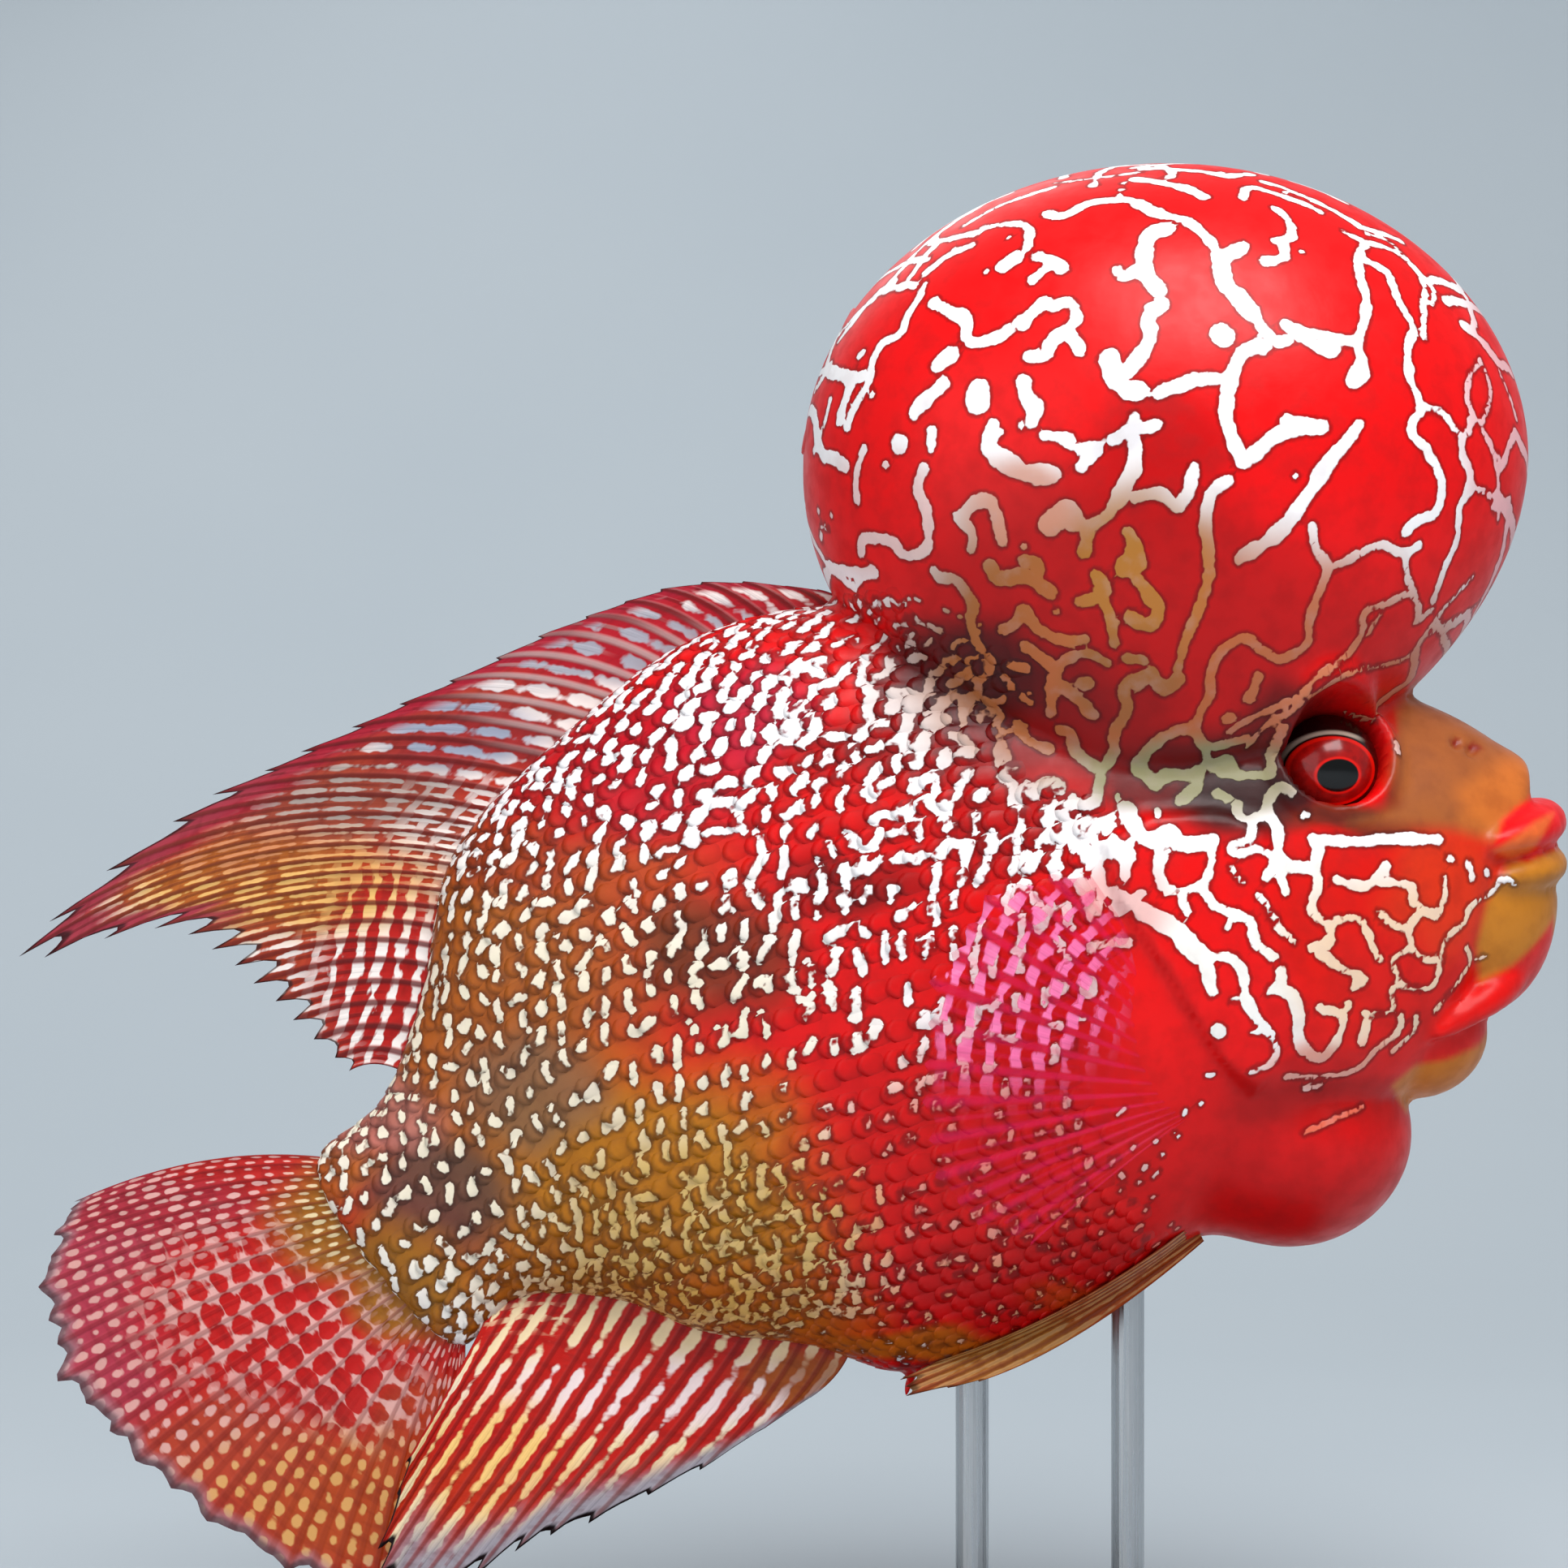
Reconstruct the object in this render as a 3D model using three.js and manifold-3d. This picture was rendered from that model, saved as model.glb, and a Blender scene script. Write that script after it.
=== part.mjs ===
// A flowerhorn cichlid as a life-size museum model, held over a flat base by two short rods.
// Millimetres, +Z up. The snout points along +X, the fish's left side faces +Y, and the origin is the middle of
// the underside of the base. The fish climbs a little, with its tail lower than its head.

import * as THREE from "three";
import { mergeVertices } from "three/addons/utils/BufferGeometryUtils.js";
import Module from "manifold-3d";

const wasm = await Module();
wasm.setup();

// Driving sizes
const gap = 0.3; // air between neighbouring pieces
const around = 26; // facets round the body
const lengthwise = 40; // facets from tail to snout

// The body from the tail root to the snout, one row a station:
// [back x, back z, belly x, belly z, half width]
const stations = [
  [-58.4, 46.8, -58.4, 46.8, 0],
  [-63.9, 56.8, -49.3, 38.4, 2.2],
  [-56.8, 63.9, -42.6, 43.4, 4.4],
  [-52.6, 75.1, -32.6, 43.4, 6.8],
  [-49.3, 89.3, -23.4, 40.1, 9.6],
  [-38.4, 101.0, -12.5, 38.8, 12.8],
  [-24.2, 111.5, -1.7, 35.9, 15.8],
  [-7.5, 115.0, 11.7, 40.1, 17.8],
  [8.3, 113.5, 22.5, 46.7, 18.6],
  [22.5, 111.9, 34.2, 55.9, 18.0],
  [35.9, 110.2, 45.1, 61.8, 16.2],
  [51.0, 104.4, 52.4, 69.6, 12.8],
  [57.4, 100.9, 55.6, 78.6, 9.6],
  [61.0, 98.0, 58.6, 84.4, 6.6],
  [58.6, 93.2, 58.6, 93.2, 0],
];
const sectionPower = 0.86; // 1 is an oval section, less is squarer
const backPinch = 0.16; // how much narrower the back is than the belly

// The nuchal hump: a ball drawn down like a pear into the top of the head
const hump = { x: 23.8, z: 129.5, length: 37.2, width: 25.5, up: 30.5, down: 38, lean: 1.6 };

// Tail swing to the fish's left, seen from above
const swing = { from: 12, reach: 106, side: 7 };

const eye = { x: 39.1, z: 98.0, y: 9.6, radius: 5.4, rim: 0.95, tilt: 0.38 };

// A value between rows of numbers: a smooth curve through them, s counted in rows
function between(rows, s) {
  const last = rows.length - 1;
  const i = Math.max(0, Math.min(Math.floor(s), last - 1));
  const f = s - i;
  const row = (k) => rows[THREE.MathUtils.clamp(k, 0, last)];
  const [a, b, c, d] = [row(i - 1), row(i), row(i + 1), row(i + 2)];
  const blend = (p, q, r, t) =>
    0.5 * (2 * q + (r - p) * f + (2 * p - 5 * q + 4 * r - t) * f ** 2 + (3 * q - p - 3 * r + t) * f ** 3);
  return b.map((_, k) => blend(a[k], b[k], c[k], d[k]));
}

// Station s of the body, with its back and belly points on the mid-plane
function stationAt(s) {
  const [backX, backZ, bellyX, bellyZ, half] = between(stations, s);
  return { back: [backX, backZ], belly: [bellyX, bellyZ], half: Math.max(half, 0) };
}

const signedPower = (v, power) => Math.sign(v) * Math.abs(v) ** power;

function bodyPoint(s, angle) {
  const { back, belly, half } = stationAt(s);
  const level = signedPower(Math.cos(angle), sectionPower);
  const side = signedPower(Math.sin(angle), sectionPower);
  const share = (1 + level) / 2;
  const pinch = 1 - backPinch * Math.max(level, 0) ** 2;
  return [
    THREE.MathUtils.lerp(belly[0], back[0], share),
    half * side * pinch,
    THREE.MathUtils.lerp(belly[1], back[1], share),
  ];
}

// A unit sphere whose points are moved by a function of (along 0..1, angle)
function shaped(pointAt, ring, rows) {
  const geometry = new THREE.SphereGeometry(1, ring, rows);
  const position = geometry.attributes.position;
  const uv = geometry.attributes.uv;
  for (let i = 0; i < position.count; i++) {
    const row = Math.floor(i / (ring + 1));
    const pole = row === 0 || row === rows;
    const turn = pole ? 0 : uv.getX(i);
    position.setXYZ(i, ...pointAt(row / rows, turn * 2 * Math.PI));
  }
  return welded(geometry);
}

// Position only, with shared vertices merged
function welded(geometry) {
  geometry.deleteAttribute("normal");
  geometry.deleteAttribute("uv");
  return mergeVertices(geometry, 1e-4);
}

function solid(geometry) {
  const made = new wasm.Manifold(
    new wasm.Mesh({
      numProp: 3,
      vertProperties: new Float32Array(geometry.attributes.position.array),
      triVerts: new Uint32Array(geometry.index.array),
    }),
  );
  if (made.volume() > 0) return made;
  const turned = geometry.clone();
  turned.index.array.reverse();
  return solid(turned);
}

// The geometry pushed out along its normals
function grown(geometry, distance) {
  const fat = geometry.clone();
  fat.computeVertexNormals();
  const { position, normal } = fat.attributes;
  const outwards = solidFacesOut(geometry) ? distance : -distance;
  for (let i = 0; i < position.count; i++) {
    position.setXYZ(
      i,
      position.getX(i) + normal.getX(i) * outwards,
      position.getY(i) + normal.getY(i) * outwards,
      position.getZ(i) + normal.getZ(i) * outwards,
    );
  }
  fat.deleteAttribute("normal");
  return fat;
}

function solidFacesOut(geometry) {
  const made = new wasm.Manifold(
    new wasm.Mesh({
      numProp: 3,
      vertProperties: new Float32Array(geometry.attributes.position.array),
      triVerts: new Uint32Array(geometry.index.array),
    }),
  );
  return made.volume() > 0;
}

const largest = (made) => made.decompose().sort((a, b) => b.volume() - a.volume())[0];

function geometryOf(made) {
  const { numProp, numVert, vertProperties, triVerts } = made.getMesh();
  const place = new Float32Array(numVert * 3);
  for (let i = 0; i < numVert; i++) place.set(vertProperties.subarray(i * numProp, i * numProp + 3), i * 3);
  return new THREE.BufferGeometry()
    .setAttribute("position", new THREE.BufferAttribute(place, 3))
    .setIndex(new THREE.BufferAttribute(new Uint32Array(triVerts), 1));
}

function ellipsoid([x, y, z], [rx, ry, rz], ring = 20, rows = 12) {
  const ball = welded(new THREE.SphereGeometry(1, ring, rows));
  ball.scale(rx, ry, rz).translate(x, y, z);
  return ball;
}

// An egg with its own height above and below the middle, fuller than an ellipsoid when fullness is under 1
function egg([x, y, z], { length, width, up, down, fullness = 1 }, ring = 20, rows = 12) {
  return shaped(
    (t, angle) => {
      const level = Math.cos(Math.PI * t);
      const spread = Math.sin(Math.PI * t) ** fullness;
      return [
        x + length * spread * Math.cos(angle),
        y + width * spread * Math.sin(angle),
        z + level * (level < 0 ? down : up),
      ];
    },
    ring,
    rows,
  );
}

// A tapered limb along a curve, thickest in the middle: radii are [level, upright]
function limb(points, radii, ring = 8, rows = 16) {
  const curve = new THREE.CatmullRomCurve3(points.map((p) => new THREE.Vector3(...p)));
  const upright = new THREE.Vector3(0, 0, 1);
  return shaped(
    (t, angle) => {
      const middle = curve.getPoint(t);
      const level = curve.getTangent(t).cross(upright).normalize();
      const fill = Math.sin(Math.PI * t) ** 0.45;
      return middle
        .addScaledVector(level, radii[0] * fill * Math.cos(angle))
        .addScaledVector(upright, radii[1] * fill * Math.sin(angle))
        .toArray();
    },
    ring,
    rows,
  );
}

// A closed outline in side view, drawn through the fish from y = low to y = high
function sideCut(outline, low, high) {
  const shape = new THREE.Shape(outline.map(([x, z]) => new THREE.Vector2(x, z)));
  const cut = new THREE.ExtrudeGeometry(shape, { depth: high - low, bevelEnabled: false, curveSegments: 8 });
  cut.rotateX(Math.PI / 2).translate(0, high, 0);
  return solid(welded(cut));
}

// A thin wall along a line in side view, to part one piece from the next
function sideWall(line, thickness) {
  const curve = new THREE.SplineCurve(line.map(([x, z]) => new THREE.Vector2(x, z)));
  const steps = 4 * (line.length - 1);
  const edge = (side) =>
    [...Array(steps + 1).keys()].map((i) => {
      const p = curve.getPoint(i / steps);
      const t = curve.getTangent(i / steps);
      return [p.x - (side * t.y * thickness) / 2, p.y + (side * t.x * thickness) / 2];
    });
  return sideCut([...edge(1), ...edge(-1).reverse()], -60, 60);
}

// A fin: a membrane with a ridge on both faces along each ray. Guide rays are rows of
// [root x, root z, bend x, bend z, tip x, tip z] in the fin's own plane; lean gives the sideways offset.
function fin({ guides, rays, rows, membrane, ridge, scallop = 0.06, lean = () => 0 }) {
  const columns = 2 * (rays - 1);
  const place = [];
  for (const face of [1, -1])
    for (let i = 0; i <= columns; i++)
      for (let j = 0; j <= rows; j++) {
        const isRay = i % 2 === 0;
        const u = i / columns;
        const v = (j / rows) * (isRay ? 1 : 1 - scallop);
        const [rootX, rootZ, bendX, bendZ, tipX, tipZ] = between(guides, u * (guides.length - 1));
        const [a, b, c] = [(1 - v) ** 2, 2 * v * (1 - v), v ** 2];
        const thick = (membrane / 2) * (1 - 0.3 * v) + (isRay ? ridge * (1 - 0.75 * v) : 0);
        place.push(a * rootX + b * bendX + c * tipX, lean(u, v) + face * thick, a * rootZ + b * bendZ + c * tipZ);
      }
  const at = (face, i, j) => (face * (columns + 1) + i) * (rows + 1) + j;
  const triangles = [];
  const quad = (a, b, c, d) => triangles.push(a, b, c, a, c, d);
  for (let i = 0; i < columns; i++)
    for (let j = 0; j < rows; j++) {
      const corners = (face) => [at(face, i, j), at(face, i + 1, j), at(face, i + 1, j + 1), at(face, i, j + 1)];
      const [a, b, c, d] = corners(0);
      const [e, f, g, h] = corners(1);
      quad(a, b, c, d);
      triangles.push(e, g, f, e, h, g);
    }
  for (let i = 0; i < columns; i++) {
    quad(at(0, i + 1, 0), at(0, i, 0), at(1, i, 0), at(1, i + 1, 0));
    quad(at(0, i, rows), at(0, i + 1, rows), at(1, i + 1, rows), at(1, i, rows));
  }
  for (let j = 0; j < rows; j++) {
    quad(at(0, 0, j), at(0, 0, j + 1), at(1, 0, j + 1), at(1, 0, j));
    quad(at(0, columns, j + 1), at(0, columns, j), at(1, columns, j), at(1, columns, j + 1));
  }
  return new THREE.BufferGeometry()
    .setAttribute("position", new THREE.Float32BufferAttribute(place, 3))
    .setIndex(triangles);
}

// Where a fin's root sits: on the back or belly at station s, sunk towards the middle of the body
function rootOn(edge, s, sunk) {
  const { back, belly } = stationAt(s);
  const [from, to] = edge === "back" ? [back, belly] : [belly, back];
  const depth = Math.hypot(to[0] - from[0], to[1] - from[1]);
  return from.map((v, k) => v + ((to[k] - v) * sunk) / depth);
}

// Whole body and hump, and the same a gap larger, which cuts their neighbours
const bodySkin = shaped((t, angle) => bodyPoint(t * (stations.length - 1), angle), around, lengthwise);
const humpSkin = shaped(
  (t, angle) => {
    const level = Math.cos(Math.PI * t);
    const below = Math.max(-level, 0);
    const spread = Math.sin(Math.PI * t);
    const lengthShare = level < 0 ? spread ** 1.45 : spread;
    const widthShare = level < 0 ? spread ** 0.8 : spread;
    return [
      hump.x - hump.lean * below + hump.length * lengthShare * Math.cos(angle),
      hump.width * widthShare * Math.sin(angle),
      hump.z + level * (level < 0 ? hump.down : hump.up),
    ];
  },
  28,
  18,
);
const body = solid(bodySkin);
const bodyGrown = solid(grown(bodySkin, gap));
const humpGrown = solid(grown(humpSkin, gap));

// Lips, jaw and throat. A lip runs round the mouth from corner to corner.
function lipAround(tipX, tipZ, cornerX, cornerZ, halfWidth, radii) {
  const mid = [THREE.MathUtils.lerp(cornerX, tipX, 0.72), THREE.MathUtils.lerp(cornerZ, tipZ, 0.6)];
  const half = [[cornerX, halfWidth, cornerZ], [mid[0], halfWidth * 0.68, mid[1]]];
  return limb([...half, [tipX, 0, tipZ], ...half.map(([x, y, z]) => [x, -y, z]).reverse()], radii);
}
const upperLipSkin = lipAround(62.2, 92.6, 54.8, 90.2, 10.8, [2.8, 2.4]);
const lowerLipSkin = lipAround(62.9, 88.2, 55.6, 86.6, 9.7, [2.2, 2.0]);
const foldSkin = lipAround(59.6, 78.2, 49.6, 71.0, 10.4, [1.9, 2.4]);
const mandibleSkin = egg([52.5, 0, 84.5], { length: 11.6, width: 10.2, up: 5.4, down: 12.5, fullness: 0.8 }, 18, 10);
const chinSkin = ellipsoid([49.2, 0, 71.0], [7.7, 8.8, 7.0], 16, 10);
const throatSkin = ellipsoid([35.5, 0, 60.6], [13.6, 13.2, 12.0], 24, 14);

const upperLip = solid(upperLipSkin).subtract(bodyGrown);
const jawSkins = [lowerLipSkin, foldSkin, mandibleSkin, chinSkin];
const jaw = jawSkins
  .map(solid)
  .reduce((joined, piece) => joined.add(piece))
  .subtract(bodyGrown)
  .subtract(solid(grown(upperLipSkin, gap)));
const jawGrown = jawSkins
  .map((skin) => solid(grown(skin, gap)))
  .reduce((joined, piece) => joined.add(piece));
const throat = solid(throatSkin).subtract(bodyGrown).subtract(jawGrown);

// Gill covers: plates that lie on the cheeks, with a free rear edge
const coverOutline = [
  [15.6, 90.6], [20, 94.6], [27, 95.2], [34, 93.6], [37.6, 84], [42, 76], [46.5, 70.5],
  [44, 66.6], [37.6, 64.4], [30.6, 64.8], [26.6, 70], [21.6, 78.2], [17.2, 84.6],
];
const coverThickness = 1.1;
function gillCover(side) {
  const [low, high] = side > 0 ? [2, 60] : [-60, -2];
  return solid(grown(bodySkin, gap + coverThickness))
    .intersect(sideCut(coverOutline, low, high))
    .subtract(bodyGrown)
    .subtract(humpGrown)
    .subtract(jawGrown)
    .subtract(solid(grown(throatSkin, gap)));
}

// Head, torso and tail stalk are one body parted by thin walls
const gillLine = [[-13, 123], [-4, 111], [6, 100], [14.5, 90], [20, 80.5], [26, 70], [28.5, 62], [26, 50], [23, 40]];
const stalkLine = [[-62, 76], [-50, 66], [-38, 52], [-30, 38]];
const walls = sideWall(gillLine, gap).add(sideWall(stalkLine, gap));
const [torsoBlock, headBlock, stalkBlock] = body
  .subtract(walls)
  .decompose()
  .sort((a, b) => b.volume() - a.volume());

const eyeAt = (side, radius) => ellipsoid([eye.x, side * eye.y, eye.z], [radius, radius, radius], 16, 10);
function eyeRim(side, tube = eye.rim) {
  const rim = welded(new THREE.TorusGeometry(eye.radius + 0.4, tube, 6, 20));
  rim.rotateX(Math.PI / 2).translate(0, side * 2.2, 0).rotateX(side * eye.tilt).rotateZ(side * -0.12);
  rim.translate(eye.x, side * eye.y, eye.z);
  return solid(rim);
}
const nostril = (side) => solid(ellipsoid([54.2, side * 8.4, 99.9], [1.0, 1.6, 0.7], 10, 6));

const head = [1, -1].reduce(
  (made, side) =>
    made
      .add(eyeRim(side))
      .subtract(solid(eyeAt(side, eye.radius + gap)))
      .subtract(nostril(side)),
  headBlock,
);
const nuchalHump = [1, -1].reduce(
  (made, side) => made.subtract(eyeRim(side, eye.rim + gap)).subtract(solid(eyeAt(side, eye.radius + gap))),
  solid(humpSkin).subtract(bodyGrown),
);
const vent = limb([[-1.4, 0, 38], [-2.2, 0, 35.6], [-3.0, 0, 33.6]], [1.3, 1.3], 8, 8);
const torso = torsoBlock.add(solid(vent));

// Fins in the mid-plane. Each guide ray: station of its root, then bend and tip as [x, z]
const dorsalGuides = [
  [7.0, -9, 116, -12, 116.4],
  [6.5, -20, 116.4, -24, 117.2],
  [6.0, -31, 114.6, -36, 113.6],
  [5.5, -42, 109, -50, 107],
  [5.0, -53, 103, -65, 99.8],
  [4.5, -61, 97.8, -79, 92.4],
  [4.15, -72, 94, -95.6, 78.1],
  [3.85, -63, 87.6, -80.6, 81.4],
  [3.45, -60, 82, -72.6, 77.4],
  [3.0, -58.5, 75, -66.4, 71.8],
  [2.4, -57.4, 68.4, -60.4, 66.6],
].map(([s, ...free]) => [...rootOn("back", s, 2.5), ...free]);

const analGuides = [
  [5.5, -9, 35.6, -12.6, 33.2],
  [5.0, -18, 32, -26, 24.6],
  [4.4, -27, 31, -38.4, 19.2],
  [3.7, -35, 30, -47, 15.2],
  [3.1, -42, 29, -56, 11.2],
  [2.6, -47, 33, -57, 17],
  [2.0, -48, 37, -54, 27],
].map(([s, ...free]) => [...rootOn("belly", s, 2.5), ...free]);

// The tail fin's roots run down the end of the tail stalk, w from the back (0) to the belly (1)
const caudalGuides = [
  [0.03, -76, 59, -89.3, 52.8],
  [0.2, -77, 53, -92.7, 45.9],
  [0.4, -75, 45, -91, 35.4],
  [0.6, -70, 37, -82.7, 26],
  [0.78, -63, 31, -69.6, 16.6],
  [0.92, -54.0, 27, -56.0, 11],
  [0.98, -48.6, 31, -47.4, 19],
].map(([w, ...free]) => {
  const { back, belly } = stationAt(1.18);
  return [THREE.MathUtils.lerp(back[0], belly[0], w), THREE.MathUtils.lerp(back[1], belly[1], w), ...free];
});

const dorsalFin = solid(fin({ guides: dorsalGuides, rays: 31, rows: 5, membrane: 0.6, ridge: 0.3 }));
const analFin = solid(
  fin({ guides: analGuides, rays: 17, rows: 6, membrane: 0.6, ridge: 0.3, lean: (u, v) => -3.6 * u * v }),
);
const caudalFin = solid(
  fin({ guides: caudalGuides, rays: 17, rows: 6, membrane: 0.6, ridge: 0.3, lean: (u, v) => 1.6 * u * v }),
);
const outside = (made) => made.subtract(bodyGrown).subtract(humpGrown);

// Paired fins are drawn flat with their root at the origin, then turned outwards and set on the flank
const pectoral = { x: 23.4, z: 66.8, y: 15.6, splay: 17 };
const pectoralGuides = [
  [1.5, 3.4, -1.5, 12, -6.5, 20.6],
  [1.5, 2.4, -8.5, 12.5, -17.5, 19.8],
  [1.5, 1.0, -12.5, 7, -24.4, 12],
  [1.5, -0.8, -13, -0.5, -26.2, 0],
  [1.5, -2.4, -12, -6, -23.4, -11],
  [1.5, -3.6, -7, -8, -15, -15.6],
];
const pelvic = { x: 22.5, z: 46.2, y: 4.6, splay: 5 };
const pelvicGuides = [
  [1, 2.4, -8, -0.8, -14, -5.0],
  [1, 0.8, -12, -4.6, -24.6, -11.4],
  [1, -1.0, -11, -7.2, -22.6, -13.2],
  [1, -2.2, -6, -6.6, -12, -10.4],
];
function pairedFin(place, side, drawing) {
  const flat = fin({ ...drawing, lean: (u, v) => -side * drawing.cup * Math.sin(Math.PI * v) });
  flat.rotateZ(THREE.MathUtils.degToRad(-side * place.splay)).translate(place.x, side * place.y, place.z);
  return outside(solid(flat));
}
const pectoralDrawing = { guides: pectoralGuides, rays: 14, rows: 5, membrane: 0.55, ridge: 0.25, cup: -1.4 };
const pelvicDrawing = { guides: pelvicGuides, rays: 6, rows: 5, membrane: 0.6, ridge: 0.3, cup: 0.4 };

// The tail swing moves every point of the fish sideways by its distance behind the gills
function swung(geometry) {
  const position = geometry.attributes.position;
  for (let i = 0; i < position.count; i++) {
    const behind = Math.max(swing.from - position.getX(i), 0) / swing.reach;
    position.setY(i, position.getY(i) + swing.side * behind ** 2);
  }
  return geometry;
}

// The stand
const base = { length: 112, depth: 64, height: 6, corner: 9, bevel: 0.8 };
const rod = { radius: 1.7, front: 20, rear: 4 };
function baseBlock() {
  const { length, depth, height, corner, bevel } = base;
  const [x, y] = [length / 2 - bevel, depth / 2 - bevel];
  const plan = new THREE.Shape()
    .moveTo(-x + corner, -y)
    .lineTo(x - corner, -y)
    .absarc(x - corner, -y + corner, corner, -Math.PI / 2, 0)
    .lineTo(x, y - corner)
    .absarc(x - corner, y - corner, corner, 0, Math.PI / 2)
    .lineTo(-x + corner, y)
    .absarc(-x + corner, y - corner, corner, Math.PI / 2, Math.PI)
    .lineTo(-x, -y + corner)
    .absarc(-x + corner, -y + corner, corner, Math.PI, 1.5 * Math.PI);
  const block = new THREE.ExtrudeGeometry(plan, {
    depth: height - 2 * bevel,
    bevelThickness: bevel,
    bevelSize: bevel,
    bevelSegments: 1,
    curveSegments: 5,
  });
  return welded(block.translate(0, 0, bevel));
}
function standRod(x) {
  const top = 80;
  const foot = base.height + gap;
  const post = welded(new THREE.CylinderGeometry(rod.radius, rod.radius, top - foot, 20));
  post.rotateX(Math.PI / 2).translate(x, 0, (top + foot) / 2);
  const pieces = solid(post).subtract(bodyGrown).decompose();
  return pieces.sort((a, b) => a.boundingBox().min[2] - b.boundingBox().min[2])[0];
}

const colours = {
  red: 0xd01010, humpRed: 0xe01414, orange: 0xc06a1e, lip: 0xd8301c, fin: 0xb8301c, eye: 0x8a1410, stand: 0x2a2a2c, steel: 0xb8bcc0,
};
const finish = (colour, roughness = 0.45, metalness = 0) =>
  new THREE.MeshStandardMaterial({ color: colour, roughness, metalness });

const fish = new THREE.Group();
const stand = new THREE.Group();

function add(group, name, made, material) {
  const geometry = group === fish ? swung(geometryOf(largest(made))) : geometryOf(largest(made));
  const mesh = new THREE.Mesh(geometry, material);
  mesh.name = name;
  group.add(mesh);
}

add(fish, "head", head, finish(colours.red));
add(fish, "nuchal_hump", nuchalHump, finish(colours.humpRed, 0.3));
add(fish, "torso", torso, finish(colours.red));
add(fish, "tail_stalk", stalkBlock, finish(colours.orange));
add(fish, "throat", throat, finish(colours.red));
add(fish, "upper_lip", upperLip, finish(colours.lip));
add(fish, "lower_jaw", jaw, finish(colours.orange));
for (const [label, side] of [["left", 1], ["right", -1]]) {
  add(fish, `gill_cover_${label}`, gillCover(side), finish(colours.red));
  add(fish, `eye_${label}`, solid(eyeAt(side, eye.radius)), finish(colours.eye, 0.1));
  add(fish, `pectoral_fin_${label}`, pairedFin(pectoral, side, pectoralDrawing), finish(colours.fin));
  add(fish, `pelvic_fin_${label}`, pairedFin(pelvic, side, pelvicDrawing), finish(colours.orange));
}
add(fish, "dorsal_fin", outside(dorsalFin), finish(colours.fin));
add(fish, "anal_fin", outside(analFin), finish(colours.fin));
add(fish, "caudal_fin", outside(caudalFin), finish(colours.fin));
add(stand, "stand_base", solid(baseBlock()), finish(colours.stand, 0.5));
add(stand, "stand_rod_front", standRod(rod.front), finish(colours.steel, 0.25, 1));
add(stand, "stand_rod_rear", standRod(rod.rear), finish(colours.steel, 0.25, 1));

const model = new THREE.Group();
model.add(fish, stand);
export default model;
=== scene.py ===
import math
import random

import bmesh
import bpy
import numpy as np
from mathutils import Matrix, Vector, kdtree, noise
from mathutils.bvhtree import BVHTree


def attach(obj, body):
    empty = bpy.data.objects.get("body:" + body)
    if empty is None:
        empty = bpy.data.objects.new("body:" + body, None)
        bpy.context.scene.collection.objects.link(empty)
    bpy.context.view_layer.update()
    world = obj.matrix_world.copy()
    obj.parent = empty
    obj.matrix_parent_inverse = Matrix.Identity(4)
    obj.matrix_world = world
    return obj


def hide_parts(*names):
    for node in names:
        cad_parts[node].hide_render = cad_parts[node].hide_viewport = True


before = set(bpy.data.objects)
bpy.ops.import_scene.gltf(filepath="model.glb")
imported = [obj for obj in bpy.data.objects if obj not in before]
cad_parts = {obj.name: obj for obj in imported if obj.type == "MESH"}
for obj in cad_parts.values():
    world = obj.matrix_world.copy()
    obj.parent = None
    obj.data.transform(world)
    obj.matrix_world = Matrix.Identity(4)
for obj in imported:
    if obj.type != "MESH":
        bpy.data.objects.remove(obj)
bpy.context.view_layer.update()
random.seed(7)
noise.seed_set(7)  # noise_vector starts from the clock otherwise
mm = 0.001
print("frame loaded")

# Camera at the photo's angle. Photo pixel (1150, 2000) is 10 mm over the floor on the fish's mid-plane
view = {
    "pixels": 1932, "perPixel": 0.0835, "acrossAt": 1150, "upAt": 2000, "lift": 10.0,
    "lens": 100, "sensor": 36, "lookX": -15.36, "lookZ": 96.34,
}
cameraAway = view["pixels"] * view["perPixel"] * view["lens"] / view["sensor"]
camera = bpy.data.objects.new("camera", bpy.data.cameras.new("camera"))
bpy.context.scene.collection.objects.link(camera)
camera.data.lens, camera.data.sensor_width = view["lens"], view["sensor"]
camera.location = Vector((view["lookX"], -cameraAway, view["lookZ"])) * mm
camera.rotation_euler = (math.pi / 2, 0, 0)
bpy.context.scene.camera = camera


def onPlane(px, py):  # photo pixels to x, z in millimetres on the fish's mid-plane
    return (px - view["acrossAt"]) * view["perPixel"], view["lift"] + (view["upAt"] - py) * view["perPixel"]


def asPhoto(points):  # the other way, seen square from the side
    across = points[:, 0] / view["perPixel"] + view["acrossAt"]
    return across, view["upAt"] - (points[:, 2] - view["lift"]) / view["perPixel"]


def rgb(text):  # "c81010" to linear red, green, blue, alpha
    parts = [int(text[i:i + 2], 16) / 255 for i in (0, 2, 4)]
    return [p / 12.92 if p < 0.04045 else ((p + 0.055) / 1.055) ** 2.4 for p in parts] + [1.0]


def smooth(low, high, x):
    t = np.clip((x - low) / (high - low), 0, 1)
    return t * t * (3 - 2 * t)


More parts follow.
